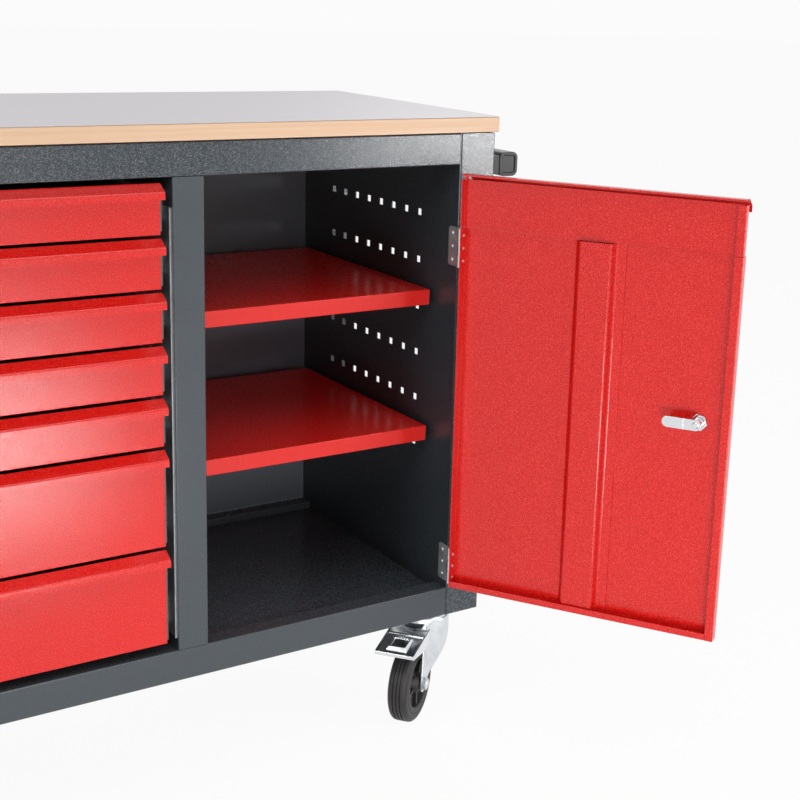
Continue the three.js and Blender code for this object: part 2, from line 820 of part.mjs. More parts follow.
// Push handle: a bar along the right end, held off the two posts by brackets.
function buildHandle() {
  const barX0 = right + handleStandOff;
  const middle = frameTop - handleBelowFrameTop;
  const y0 = front + handleEndInset;
  const y1 = back - handleEndInset;
  const bottom = middle - handleHeight / 2;
  const section = roundedRectangle(barX0, barX0 + handleWidth, bottom, bottom + handleHeight, handleCorner);
  addPart(bench, 'handle_bar', extrudeAlongY(section, y0, y1), colours.grip, 0.5, 0.0);
  const half = handleBracketHeight / 2;
  const brackets = { front: y0, rear: y1 - handleBracketLength };
  for (const [place, start] of Object.entries(brackets)) {
    const bracket = box(
      right + seatGap,
      barX0 - seatGap,
      start,
      start + handleBracketLength,
      middle - half,
      middle + half,
    );
    addZinc(bench, `handle_bracket_${place}`, bracket);
  }
}

// Wheel about the Y axis: tyre with rounded shoulders, recessed rim and a bored hub.
function wheel() {
  const bore = axleRadius + axleClearance;
  const half = wheelWidth / 2;
  const halfHub = hubWidth / 2;
  const web = half - rimRecess;
  const shoulder = half - wheelShoulder / 2;
  const profile = [
    [bore, -halfHub],
    [hubRadius, -halfHub],
    [hubRadius, -web],
    [rimRadius, -web],
    [rimRadius, -half],
    [wheelRadius - wheelShoulder, -half],
    [wheelRadius - wheelShoulder / 4, -shoulder],
    [wheelRadius, -half + wheelShoulder],
    [wheelRadius, half - wheelShoulder],
    [wheelRadius - wheelShoulder / 4, shoulder],
    [wheelRadius - wheelShoulder, half],
    [rimRadius, half],
    [rimRadius, web],
    [hubRadius, web],
    [hubRadius, halfHub],
    [bore, halfHub],
    [bore, -halfHub],
  ];
  const points = profile.map(([radius, y]) => new THREE.Vector2(radius, y));
  return toGeometry(toSolid(new THREE.LatheGeometry(points, roundSegments)));
}

// Fork cheeks, crown and axle about the swivel axis, with the axle ahead of it by the trail.
function fork(trail, crownTop) {
  const cheekBack = crownRadius - forkCheekInset;
  const shoulder = crownTop - crownThickness - forkCheekStraight;
  const inner = forkGap / 2;
  const outline = outlineShape([
    [-cheekBack, crownTop],
    [-cheekBack, shoulder],
    [trail - forkCheekFoot, wheelRadius - forkCheekFoot / 2],
    [trail - forkCheekFoot / 2, wheelRadius - forkCheekFoot],
    [trail + forkCheekFoot / 2, wheelRadius - forkCheekFoot],
    [trail + forkCheekFoot * 0.75, wheelRadius],
    [trail + forkCheekFoot / 2, shoulder - forkCheekFoot / 2],
    [cheekBack, shoulder + forkCheekFoot],
    [cheekBack, crownTop],
  ]);
  const cheeks = [inner, -inner - forkSheet].map((y) => extrudeAlongY(outline, y, y + forkSheet));
  const crown = box(-cheekBack, cheekBack, -inner - forkSheet, inner + forkSheet, crownTop - crownThickness, crownTop);
  const race = pegAlongZ(0, 0, crownTop - crownThickness, crownTop, crownRadius, roundSegments);
  const axleEnd = inner + forkSheet + axleEndReach;
  const axle = pegAlongY(trail, -axleEnd, axleEnd, wheelRadius, axleRadius);
  return { cheeks, crown, race, axle };
}

// Brake pedal: a knuckle on the fork's cross pin, a neck between the cheeks and a wide sloping tread.
function pedal() {
  const slope = (pedalTipHeight - pedalPivotHeight) / (pedalTipReach - pedalPivotReach);
  const heightAt = (reach) => pedalPivotHeight + slope * (reach - pedalPivotReach);
  const halfNeck = forkGap / 2 - pedalNeckClearance;
  const halfTread = pedalWidth / 2;
  const neckPath = [
    [pedalTipReach - 1, heightAt(pedalTipReach - 1)],
    [pedalPivotReach, pedalPivotHeight],
  ];
  const treadPath = [
    [pedalTipReach + 2, pedalTipHeight - pedalRim],
    [pedalTipReach, pedalTipHeight],
    [pedalTreadStart, heightAt(pedalTreadStart)],
  ];
  const neck = extrudeAlongY(foldedSheet(neckPath, -pedalThickness), -halfNeck, halfNeck);
  const tread = extrudeAlongY(foldedSheet(treadPath, -pedalThickness), -halfTread, halfTread);
  const knuckle = pegAlongY(pedalPivotReach, -halfNeck, halfNeck, pedalPivotHeight, pedalKnuckleRadius);
  const bore = pegAlongY(pedalPivotReach, -forkGap, forkGap, pedalPivotHeight, pedalPinRadius + axleClearance);
  return cut(join(neck, tread, knuckle), bore);
}

function buildSwivelCaster(place, y, yaw) {
  const x = cabinetRight - casterFromPostInside;
  const halfLength = casterPlateLength / 2;
  const halfWidth = casterPlateWidth / 2;
  const plate = box(x - halfLength, x + halfLength, y - halfWidth, y + halfWidth, casterPlateBottom, casterPlateTop);
  const race = pegAlongZ(x, y, casterPlateBottom - casterRaceDepth, casterPlateBottom + 1, raceRadius, roundSegments);
  addZinc(bench, `caster_${place}_plate`, join(plate, race));

  const caster = new THREE.Group();
  caster.position.set(x, y, 0);
  caster.rotation.z = THREE.MathUtils.degToRad(yaw);
  bench.add(caster);
  const pieces = fork(casterTrail, swivelCrownTop);
  const pinEnd = forkGap / 2 + 1;
  const pin = pegAlongY(pedalPivotReach, -pinEnd, pinEnd, pedalPivotHeight, pedalPinRadius);
  const { cheeks, crown, race: forkRace, axle } = pieces;
  addZinc(caster, `caster_${place}_fork`, join(crown, forkRace, axle, pin, ...cheeks));
  const spun = addPart(caster, `caster_${place}_wheel`, wheel(), colours.rubber, 0.8, 0.0);
  spun.position.set(casterTrail, 0, wheelRadius);
  addZinc(caster, `caster_${place}_pedal`, pedal());
}

function buildFixedCaster(place, y) {
  const x = drawerBayLeft + casterFromPostInside;
  const halfLength = casterPlateLength / 2;
  const halfWidth = casterPlateWidth / 2;
  const caster = new THREE.Group();
  caster.position.set(x, y, 0);
  bench.add(caster);
  const plate = box(-halfLength, halfLength, -halfWidth, halfWidth, casterPlateBottom, casterPlateTop);
  const pieces = fork(0, casterPlateBottom + 1);
  addZinc(caster, `caster_${place}_fork`, join(plate, pieces.crown, pieces.axle, ...pieces.cheeks));
  const spun = addPart(caster, `caster_${place}_wheel`, wheel(), colours.rubber, 0.8, 0.0);
  spun.position.set(0, 0, wheelRadius);
}

function buildCasters() {
  const frontY = front + casterFromFront;
  const rearY = back - casterFromFront;
  buildSwivelCaster('front_right', frontY, casterYaw);
  buildSwivelCaster('rear_right', rearY, casterYaw);
  buildFixedCaster('front_left', frontY);
  buildFixedCaster('rear_left', rearY);
}

buildWorktop();
buildCornerPosts();
buildRails();
buildCentrePost();
buildFloor();
buildBackPanel();
buildSidePanels();
buildPartitions();
buildRunnerRacks();
buildDrawers();
buildShelves();
buildDoor();
buildHandle();
buildCasters();

export default bench;
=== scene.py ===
import math
import bmesh
import bpy
from mathutils import Matrix, Vector


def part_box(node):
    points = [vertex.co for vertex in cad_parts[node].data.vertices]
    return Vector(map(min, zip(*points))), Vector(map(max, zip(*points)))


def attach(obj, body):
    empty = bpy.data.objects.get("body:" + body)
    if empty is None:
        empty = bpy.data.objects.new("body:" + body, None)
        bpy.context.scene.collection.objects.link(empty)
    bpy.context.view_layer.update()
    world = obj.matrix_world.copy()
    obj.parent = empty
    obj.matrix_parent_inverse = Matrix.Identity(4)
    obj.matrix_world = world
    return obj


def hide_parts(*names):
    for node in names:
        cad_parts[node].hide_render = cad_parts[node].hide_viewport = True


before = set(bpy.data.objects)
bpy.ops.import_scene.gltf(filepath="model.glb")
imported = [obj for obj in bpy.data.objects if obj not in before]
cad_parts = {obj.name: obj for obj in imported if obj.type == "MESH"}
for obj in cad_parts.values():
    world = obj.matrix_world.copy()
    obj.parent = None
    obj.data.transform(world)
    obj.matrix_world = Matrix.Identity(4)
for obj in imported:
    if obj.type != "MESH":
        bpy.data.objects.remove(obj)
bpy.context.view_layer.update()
mm = 0.001  # sizes below are in millimetres, the frame is in metres
near = 1e-6  # metres, closer than this is the same place
print("frame loaded:", len(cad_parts), "nodes")

cameraSetup = {
    "place": (-0.6611, -1.9950, 1.1397),
    "turn": (75.916, -2.120, -34.539),  # degrees
    "lens": 65.51,
    "sensor": 36,
    "shift": (-0.1010, -0.0575),
    "farClip": 200,
}
bpy.ops.object.select_all(action="DESELECT")
bpy.ops.object.camera_add(location=cameraSetup["place"])
photoCamera = bpy.context.object
photoCamera.name = "photoCamera"
photoCamera.rotation_euler = [math.radians(a) for a in cameraSetup["turn"]]
photoCamera.data.lens = cameraSetup["lens"]
photoCamera.data.sensor_width = cameraSetup["sensor"]
photoCamera.data.shift_x, photoCamera.data.shift_y = cameraSetup["shift"]
photoCamera.data.clip_end = cameraSetup["farClip"]
bpy.context.scene.camera = photoCamera


# these few select, shape and finish meshes
def deselectAll():
    if bpy.context.object and bpy.context.object.mode != "OBJECT":
        bpy.ops.object.mode_set(mode="OBJECT")
    bpy.ops.object.select_all(action="DESELECT")


def activate(obj):
    deselectAll()
    obj.select_set(True)
    bpy.context.view_layer.objects.active = obj


def editing(obj, mode="EDGE"):
    activate(obj)
    bpy.ops.object.mode_set(mode="EDIT")
    bpy.ops.mesh.select_mode(type=mode)
    bpy.ops.mesh.select_all(action="DESELECT")


def doneEditing():
    bpy.ops.object.mode_set(mode="OBJECT")


def pick(obj, kind, test):  # selects edges or faces by their place
    mesh = bmesh.from_edit_mesh(obj.data)
    found = 0
    for part in getattr(mesh, kind):
        if test(part):
            part.select_set(True)
            found += 1
    mesh.select_flush_mode()
    bmesh.update_edit_mesh(obj.data)
    return found


def middle(part):  # of an edge or a face
    total = Vector()
    for v in part.verts:
        total += v.co
    return total / len(part.verts)


def runsAlong(edge, axis):
    return abs((edge.verts[0].co - edge.verts[1].co)["XYZ".index(axis)]) > 0.1 * mm


def facing(face, axis, sign=1):
    return face.normal["XYZ".index(axis)] * sign > 0.9


def extrudeBy(step):
    bpy.ops.mesh.extrude_region_move(TRANSFORM_OT_translate={"value": step})


def pointOutwards():
    bpy.ops.mesh.select_all(action="SELECT")
    bpy.ops.mesh.normals_make_consistent(inside=False)


def nameAdded(name):  # the object that the last operator added
    obj = bpy.context.object
    obj.name = obj.data.name = name
    return obj


def useModifier(obj, kind, **settings):
    activate(obj)
    modifier = obj.modifiers.new(kind.title(), kind)
    for key, value in settings.items():
        setattr(modifier, key, value)
    bpy.ops.object.modifier_apply(modifier=modifier.name)
    return obj


def roundEdges(obj, width, segments=2, angle=40):
    return useModifier(obj, "BEVEL", width=width * mm, segments=segments, limit_method="ANGLE",
                       angle_limit=math.radians(angle), use_clamp_overlap=True)


def roundCorners(obj, axis, radius, segments, test=None):  # the edges along one axis, still in edit mode after
    editing(obj)
    pick(obj, "edges", lambda e: runsAlong(e, axis) and (test is None or test(e)))
    bpy.ops.mesh.bevel(offset=radius * mm, segments=segments, affect="EDGES")


def startBox(name, low, high):
    deselectAll()
    low, high = Vector(low), Vector(high)
    bpy.ops.mesh.primitive_cube_add(size=1, location=(low + high) / 2, scale=high - low)
    obj = nameAdded(name)
    bpy.ops.object.transform_apply(location=True, rotation=True, scale=True)
    return obj


def boxMm(name, x0, x1, y0, y1, z0, z1):
    return startBox(name, Vector((x0, y0, z0)) * mm, Vector((x1, y1, z1)) * mm)


def nodeBox(node):  # a CAD node's corners in millimetres
    low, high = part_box(node)
    return low / mm, high / mm


def onAxis(axis, along, point=(0, 0)):
    a, b = point
    return Vector({"X": (along, a, b), "Y": (a, along, b), "Z": (a, b, along)}[axis]) * mm


sheetLook = {"bendSteps": 4, "rawEdge": 0.25, "rawAngle": 60}


def giveThickness(obj, thickness, offset):
    useModifier(obj, "SOLIDIFY", thickness=thickness * mm, offset=offset)
    return roundEdges(obj, sheetLook["rawEdge"], 2, sheetLook["rawAngle"])


# a strip of sheet drawn along a path, folded with round bends, thickness to the path's right
def foldSheet(name, axis, start, end, path, thickness, bend=1.5):
    deselectAll()
    bpy.ops.mesh.primitive_plane_add(size=1)
    obj = nameAdded(name)
    corners = [onAxis(axis, s, p) for p in path[:2] for s in (start, end)]
    for v, co in zip(obj.data.vertices, corners):
        v.co = co
    editing(obj)
    lastEdge = (corners[2] + corners[3]) / 2
    pick(obj, "edges", lambda e: (middle(e) - lastEdge).length < near)
    for before, after in zip(path[1:], path[2:]):
        extrudeBy(onAxis(axis, 0, after) - onAxis(axis, 0, before))
    bpy.ops.mesh.select_all(action="DESELECT")
    if bend and pick(obj, "edges", lambda e: len(e.link_faces) == 2):
        bpy.ops.mesh.bevel(offset=bend * mm, segments=sheetLook["bendSteps"], affect="EDGES")
    doneEditing()
    return giveThickness(obj, thickness, 1 if axis == "Y" else -1)


# a flat outline in the plane across an axis, given a thickness
def cutPlate(name, axis, level, outline, thickness, edge=0.4):
    deselectAll()
    bpy.ops.mesh.primitive_circle_add(vertices=len(outline), radius=0.01, fill_type="NGON")
    obj = nameAdded(name)
    for v, p in zip(obj.data.vertices, outline):
        v.co = onAxis(axis, level, p)
    editing(obj, "FACE")
    bpy.ops.mesh.select_all(action="SELECT")
    extrudeBy(onAxis(axis, thickness))
    pointOutwards()
    doneEditing()
    return roundEdges(obj, edge, 2, 50)


# a profile of (radius, height) points spun about an axis through the centre
def spinProfile(name, axis, centre, profile, steps=48):
    deselectAll()
    bpy.ops.mesh.primitive_plane_add(size=0.01)
    obj = nameAdded(name)
    editing(obj, "VERT")
    bpy.ops.mesh.select_all(action="SELECT")
    bpy.ops.mesh.merge(type="CENTER")
    doneEditing()
    spot = Vector(centre) * mm

    def point(radius, height):
        places = {"X": (height, radius, 0), "Y": (radius, height, 0), "Z": (radius, 0, height)}
        return spot + Vector(places[axis]) * mm

    obj.data.vertices[0].co = point(*profile[0])
    editing(obj, "VERT")
    bpy.ops.mesh.select_all(action="SELECT")
    for before, after in zip(profile, profile[1:]):
        extrudeBy(point(*after) - point(*before))
    bpy.ops.mesh.select_all(action="SELECT")
    line = {"X": (1, 0, 0), "Y": (0, 1, 0), "Z": (0, 0, 1)}[axis]
    bpy.ops.mesh.spin(steps=steps, angle=2 * math.pi, center=spot, axis=line)
    bpy.ops.mesh.select_all(action="SELECT")
    bpy.ops.mesh.remove_doubles(threshold=near)
    pointOutwards()
    doneEditing()
    return obj


def hexagon(x, y, radius, turn=0):
    angles = [math.radians(60 * i + turn) for i in range(6)]
    return [(x + radius * math.cos(a), y + radius * math.sin(a)) for a in angles]


def cutAway(obj, *cutters):
    for cutter in cutters:
        useModifier(obj, "BOOLEAN", operation="DIFFERENCE", object=cutter, solver="EXACT")
        bpy.data.objects.remove(cutter)
    return obj


def joinAll(first, *others):
    deselectAll()
    for obj in (first, *others):
        obj.select_set(True)
    bpy.context.view_layer.objects.active = first
    bpy.ops.object.join()
    return first


def turnAbout(obj, degrees, place):  # models laid out about the origin go to their place
    activate(obj)
    obj.rotation_euler = (0, 0, math.radians(degrees))
    obj.location = Vector(place) * mm
    bpy.ops.object.transform_apply(location=True, rotation=True, scale=True)
    return obj


sliver = 0.002  # mm, tight bends leave faces narrower than this


def finishPiece(obj, body, slotName, material, *nodes, smooth=35):
    editing(obj)
    bpy.ops.mesh.select_all(action="SELECT")
    bpy.ops.mesh.dissolve_degenerate(threshold=sliver * mm)
    doneEditing()
    bpy.ops.object.shade_smooth_by_angle(angle=math.radians(smooth))
    useModifier(obj, "WEIGHTED_NORMAL", weight=100, keep_sharp=True)  # flat sheet shades flat up to its bends
    obj.data.materials.clear()
    obj.data.materials.append(material)
    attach(obj, body)
    if nodes:
        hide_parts(*nodes)
    return obj


# finishes, all on object coordinates
def newFinish(name):
    material = bpy.data.materials.new(name)
    material.use_nodes = True
    nodes, links = material.node_tree.nodes, material.node_tree.links
    return material, nodes, links, nodes["Principled BSDF"]


def noiseOn(nodes, links, scale, detail, roughness, stretch=None):
    place = nodes.new("ShaderNodeTexCoord").outputs["Object"]
    noise = nodes.new("ShaderNodeTexNoise")
    noise.inputs["Scale"].default_value = scale
    noise.inputs["Detail"].default_value = detail
    noise.inputs["Roughness"].default_value = roughness
    if stretch:
        mapping = nodes.new("ShaderNodeMapping")
        mapping.inputs["Scale"].default_value = stretch
        links.new(place, mapping.inputs["Vector"])
        place = mapping.outputs["Vector"]
    links.new(place, noise.inputs["Vector"])
    return noise.outputs["Fac"]


def addTint(nodes, links, shader, source, stops):
    ramp = nodes.new("ShaderNodeValToRGB")
    elements = ramp.color_ramp.elements
    while len(elements) < len(stops):
        elements.new(0.5)
    for element, (place, colour) in zip(elements, stops):
        element.position = place
        element.color = (*colour, 1)
    links.new(source, ramp.inputs["Fac"])
    links.new(ramp.outputs["Color"], shader.inputs["Base Color"])


def addPolish(nodes, links, shader, source, fromRange, toRange):
    polish = nodes.new("ShaderNodeMapRange")
    for socket, value in zip(("From Min", "From Max", "To Min", "To Max"), (*fromRange, *toRange)):
        polish.inputs[socket].default_value = value
    links.new(source, polish.inputs["Value"])
    links.new(polish.outputs["Result"], shader.inputs["Roughness"])


def addBump(nodes, links, shader, source, height):
    bump = nodes.new("ShaderNodeBump")
    bump.inputs["Strength"].default_value = 1
    bump.inputs["Distance"].default_value = height * mm
    links.new(source, bump.inputs["Height"])
    links.new(bump.outputs["Normal"], shader.inputs["Normal"])


paintLook = {"darkAt": 0.36, "middleAt": 0.54, "glossSpread": 0.06, "glossFrom": (0.3, 0.7), "index": 1.5}


def powderCoat(name, dark, middle, speckAndGlint, roughness, grain=690, height=0.025, glintFrom=0.74):
    material, nodes, links, shader = newFinish(name)
    hammered = noiseOn(nodes, links, grain, 1.0, 0.5)  # one grain for colour, gloss and bump; the colour darkens in the hollows, partly random tone and partly painted shade, and turns to the speck colour on the peaks as painted glints
    stops = [(paintLook["darkAt"], dark), (paintLook["middleAt"], middle), (glintFrom, speckAndGlint)]
    addTint(nodes, links, shader, hammered, stops)
    shader.inputs["IOR"].default_value = paintLook["index"]
    spread = paintLook["glossSpread"]
    addPolish(nodes, links, shader, hammered, paintLook["glossFrom"], (roughness + spread, roughness - spread))
    addBump(nodes, links, shader, hammered, height)
    return material


platingLook = {"glossSpread": 0.1, "glossiest": 0.03}


def platedSteel(name, dark, light, roughness, grain):
    material, nodes, links, shader = newFinish(name)
    cloud = noiseOn(nodes, links, grain, 4, 0.6)
    addTint(nodes, links, shader, cloud, [(0.25, dark), (0.75, light)])
    shader.inputs["Metallic"].default_value = 1
    spread = platingLook["glossSpread"]
    gloss = (max(roughness - spread, platingLook["glossiest"]), roughness + spread)
    addPolish(nodes, links, shader, cloud, (0, 1), gloss)
    return material


beechLook = {
    "dark": (0.68, 0.44, 0.27), "middle": (0.74, 0.51, 0.34), "light": (0.79, 0.58, 0.42),
    "stretch": (0.35, 0.35, 22), "roughness": 0.5, "height": 0.05,
}


def beechEdge():
    look = beechLook
    material, nodes, links, shader = newFinish("paleBeech")
    grain = noiseOn(nodes, links, 9, 6, 0.62, look["stretch"])
    addTint(nodes, links, shader, grain, [(0.3, look["dark"]), (0.55, look["middle"]), (0.75, look["light"])])
    shader.inputs["Roughness"].default_value = look["roughness"]
    addBump(nodes, links, shader, grain, look["height"])
    return material


laminateLook = {"dark": (0.60, 0.575, 0.60), "light": (0.67, 0.64, 0.665), "roughness": 0.42, "height": 0.02}


def matLaminate():
    look = laminateLook
    material, nodes, links, shader = newFinish("greyLaminate")
    speckAndGlint = noiseOn(nodes, links, 700, 3, 0.7)
    addTint(nodes, links, shader, speckAndGlint, [(0.3, look["dark"]), (0.7, look["light"])])
    shader.inputs["Roughness"].default_value = look["roughness"]
    addBump(nodes, links, shader, speckAndGlint, look["height"])
    return material


def darkRubber(name, dark, light, roughness, gloss, height=0.12):
    material, nodes, links, shader = newFinish(name)
    dust = noiseOn(nodes, links, 90, 5, 0.65)
    addTint(nodes, links, shader, dust, [(0.35, dark), (0.75, light)])
    shader.inputs["Roughness"].default_value = roughness
    shader.inputs["Specular IOR Level"].default_value = gloss
    addBump(nodes, links, shader, noiseOn(nodes, links, 900, 3, 0.6), height)
    return material


# the last colour of each paint is a painted glint on the grain's peaks; the first, in the hollows, is partly
# random tone and partly painted shade
texturedRed = powderCoat("texturedRed", (0.56, 0.004, 0.003), (0.75, 0.010, 0.007), (0.85, 0.065, 0.05), 0.16,
                         grain=720, height=0.20, glintFrom=0.71)
smoothRed = powderCoat("smoothRed", (0.68, 0.012, 0.008), (0.72, 0.016, 0.011), (0.76, 0.028, 0.02), 0.28)
anthracite = powderCoat("anthracite", (0.016, 0.023, 0.029), (0.052, 0.066, 0.077), (0.19, 0.21, 0.23), 0.16,
                        grain=700, height=0.22)
smoothGrey = powderCoat("smoothGrey", (0.048, 0.060, 0.069), (0.056, 0.069, 0.079), (0.072, 0.086, 0.096), 0.26)
# a lighter copy of the frame grey, painted light for the brighter light that falls on the back panel
backGreyPaintedLight = powderCoat("backGreyPaintedLight", (0.108, 0.124, 0.145), (0.124, 0.142, 0.165), (0.155, 0.174, 0.196), 0.32)
smoothDark = powderCoat("smoothDark", (0.028, 0.035, 0.041), (0.034, 0.042, 0.049), (0.044, 0.053, 0.060), 0.3)
boxGrey = powderCoat("boxGrey", (0.050, 0.056, 0.062), (0.068, 0.076, 0.083), (0.10, 0.11, 0.12), 0.45,
                     grain=500, height=0.05)
brightZinc = platedSteel("brightZinc", (0.60, 0.62, 0.64), (0.78, 0.80, 0.82), 0.34, 60)
dullZinc = platedSteel("dullZinc", (0.58, 0.60, 0.62), (0.76, 0.78, 0.80), 0.52, 70)
polishedZinc = platedSteel("polishedZinc", (0.68, 0.70, 0.72), (0.80, 0.82, 0.84), 0.14, 40)
paleBeech = beechEdge()
greyLaminate = matLaminate()
ribbedRubber = darkRubber("ribbedRubber", (0.012, 0.011, 0.011), (0.026, 0.022, 0.021), 0.5, 0.5)
satinBlack = darkRubber("satinBlack", (0.005, 0.005, 0.006), (0.010, 0.010, 0.011), 0.36, 0.28)
print("finishes ready")


# worktop
worktopLook = {"boardRound": 1.2, "laminateRound": 0.4}
board = roundEdges(startBox("worktopBoard", *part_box("worktop_board")), worktopLook["boardRound"], 3)
finishPiece(board, "bench", "worktop_edge", paleBeech, "worktop_board")
laminate = roundEdges(startBox("worktopLaminate", *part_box("worktop_laminate")), worktopLook["laminateRound"])
finishPiece(laminate, "bench", "worktop_laminate", greyLaminate, "worktop_laminate")
print("worktop made")


# frame: posts, rails, panels
frameLook = {
    "postRound": 2.4, "railRound": 1.8, "roundSteps": 5, "wall": 1.5, "bend": 1.5, "shadowGap": 1.5,
    "mouth": 4, "mouthEdge": 0.2,  # the open ends of the tubes
}
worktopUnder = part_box("worktop_board")[0].z


def makeTube(name, node, along, radius, finish):
    look = frameLook
    low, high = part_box(node)
    high.z = min(high.z, worktopUnder - look["shadowGap"] * mm)  # the side folds carry the worktop
    obj = startBox(name, low, high)
    roundCorners(obj, along, radius, look["roundSteps"])
    bpy.ops.mesh.select_mode(type="FACE")
    for sign in (-1, 1):
        bpy.ops.mesh.select_all(action="DESELECT")
        pick(obj, "faces", lambda f: facing(f, along, sign))
        bpy.ops.mesh.inset(thickness=look["wall"] * mm)
        extrudeBy(onAxis(along, -sign * look["mouth"]))
    doneEditing()
    return finishPiece(roundEdges(obj, look["mouthEdge"], 1, 60), "bench", "frame_paint", finish, node)


for corner in ("front_right", "rear_right", "front_left", "rear_left"):
    makeTube("post_" + corner, "post_" + corner, "Z", frameLook["postRound"], anthracite)
for rail in ("top_rail_front", "top_rail_rear", "bottom_rail_front", "bottom_rail_rear"):
    finish = anthracite if rail.startswith("top") else smoothGrey
    makeTube(rail + "_tube", rail, "X", frameLook["railRound"], finish)

centrePostLook = {"slotX": (-4, 2), "slotY": (1.6, 20), "slotZ": (544, 625)}  # the slot takes the lock's cam
low, high = nodeBox("centre_post")
path = [(high.x, high.y), (high.x, low.y), (low.x, low.y), (low.x, high.y)]
channel = foldSheet("centrePostChannel", "Z", low.z, high.z, path, frameLook["wall"], frameLook["bend"])
slotX, slotY = centrePostLook["slotX"], centrePostLook["slotY"]
cutAway(channel, boxMm("camSlot", high.x + slotX[0], high.x + slotX[1], low.y + slotY[0], low.y + slotY[1],
                       *centrePostLook["slotZ"]))
finishPiece(channel, "bench", "frame_paint", smoothGrey, "centre_post")

low, high = nodeBox("floor_panel")
path = [(low.y, low.z), (low.y, high.z), (high.y, high.z), (high.y, low.z)]
tray = foldSheet("floorTray", "X", low.x, high.x, path, frameLook["wall"], frameLook["bend"])
finishPiece(tray, "bench", "frame_paint", anthracite, "floor_panel")

pressedLook = {"backMargin": 30, "backDepth": 0.8, "partitionMargin": 20, "partitionDepth": 0.6, "edge": 0.3}


def makePressedPanel(name, node, axis, margin, depth, finish):  # flat sheet with a shallow pressed field
    obj = startBox(name, *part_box(node))
    editing(obj, "FACE")
    pick(obj, "faces", lambda f: facing(f, axis))
    bpy.ops.mesh.inset(thickness=margin * mm)
    extrudeBy(onAxis(axis, -depth))
    doneEditing()
    return finishPiece(roundEdges(obj, pressedLook["edge"]), "bench", "frame_paint", finish, node)


# the back sheet takes the lighter grey, which is painted light
makePressedPanel("backSheet", "back_panel", "Y", pressedLook["backMargin"], pressedLook["backDepth"], backGreyPaintedLight)
makePressedPanel("partitionDrawerSheet", "partition_drawer_side", "X", pressedLook["partitionMargin"],
                 pressedLook["partitionDepth"], smoothGrey)

tabLook = {
    "tops": (672, 457), "starts": (-156, 162), "width": 24, "reach": 20, "thick": 1.5, "corner": 3, "edge": 0.3,
}


def makeTabs(x0, x1):  # the tabs that the shelves rest on
    tabs = []
    for top in tabLook["tops"]:
        for y in tabLook["starts"]:
            tab = boxMm("shelfTab", x0, x1, y, y + tabLook["width"], top - tabLook["thick"], top)
            roundCorners(tab, "Z", tabLook["corner"], 4)
            doneEditing()
            tabs.append(roundEdges(tab, tabLook["edge"], 2, 60))
    return tabs


sidePanelLook = {
    "columns": 8, "pitch": 38, "rows": 6, "rowPitch": 73, "topRow": 807, "hole": 10,
    "inner": 522, "outer": 523.5, "face": 583, "half": 239, "bottom": 185, "top": 937,
    "fold": 46, "foldHalf": 177.7, "foldSink": 0.5, "bend": 2.4, "tabSink": 0.3,
}


def makeSidePanel(name, node, sign):
    look = sidePanelLook
    inner, outer, face = look["inner"], look["outer"], look["face"]
    bottom, top = look["bottom"], look["top"]
    web = boxMm(name, inner, outer, -look["half"], look["half"], bottom, top)
    half = look["hole"] / 2
    holes = []
    for column in range(look["columns"]):
        y = (column - (look["columns"] - 1) / 2) * look["pitch"]
        for row in range(look["rows"]):
            z = look["topRow"] - row * look["rowPitch"]
            holes.append(boxMm("hole", inner - 2, outer + 2, y - half, y + half, z - half, z + half))
    cutAway(web, joinAll(*holes))
    roundEdges(web, sheetLook["rawEdge"], 2, sheetLook["rawAngle"])
    pieces = []
    root, long = outer - look["foldSink"], look["foldHalf"]
    for path in ([(root, top), (face, top), (face, top - look["fold"])],
                 [(face, bottom + look["fold"]), (face, bottom), (root, bottom)]):
        pieces.append(foldSheet("sideFold", "Y", -long, long, path, frameLook["wall"], look["bend"]))
    if sign > 0:
        pieces += makeTabs(inner - tabLook["reach"], outer - look["tabSink"])
    panel = joinAll(web, *pieces)
    if sign < 0:
        turnAbout(panel, 180, (0, 0, 0))
    return finishPiece(panel, "bench", "frame_paint", smoothDark, node)


makeSidePanel("sidePanelRight", "side_panel_right", 1)
makeSidePanel("sidePanelLeft", "side_panel_left", -1)

partitionLook = {"left": 120.5, "right": 122, "tabSink": 0.5, "edge": 0.3, "notchY": 208.7, "notchTop": 231.3}
low, high = nodeBox("partition_cabinet_side")
left, right = partitionLook["left"], partitionLook["right"]
sheet = boxMm("partitionCabinetSheet", left, right, low.y, high.y, low.z, high.z)
notchY, notchTop = partitionLook["notchY"], partitionLook["notchTop"]
cutAway(sheet, boxMm("railNotch", left - 10, right + 8, notchY, 260, 200, notchTop))
tabs = makeTabs(right - partitionLook["tabSink"], right + tabLook["reach"])
sheet = joinAll(roundEdges(sheet, partitionLook["edge"], 2, 60), *tabs)
finishPiece(sheet, "bench", "frame_paint", anthracite, "partition_cabinet_side")
print("frame made")


# drawers
drawerLook = {
    "count": 7, "face": -239, "return": 12, "topDrop": 1.4, "sheet": 1.2, "bend": 1.4,
    "lipReach": 17, "lipDrop": 10, "lipFlange": 9,
    "runnerRoom": 12, "boxWall": 1, "boxFloor": 1, "boxEdge": 0.5, "rim": 5, "rimThick": 1.2,
    "memberUp": 14, "memberHigh": 30, "memberReach": 9, "memberStart": -198.5, "memberGap": 0.2,
    "sideEdge": 7, "sideEdgeY": (-206, -236.6), "sideEdgeFoot": 4.5, "sideEdgeHead": 19,
}
memberLook = {"sheet": 1.2, "bend": 1.0}


def makeChannel(name, back, turn, reach, bottom, tall, start, end):  # one slide member, open away from its back
    mouth, top = back + turn * reach, bottom + tall
    path = [(mouth, top), (back, top), (back, bottom), (mouth, bottom)]
    if turn > 0:
        path.reverse()
    return foldSheet(name, "Y", start, end, path, memberLook["sheet"], memberLook["bend"])


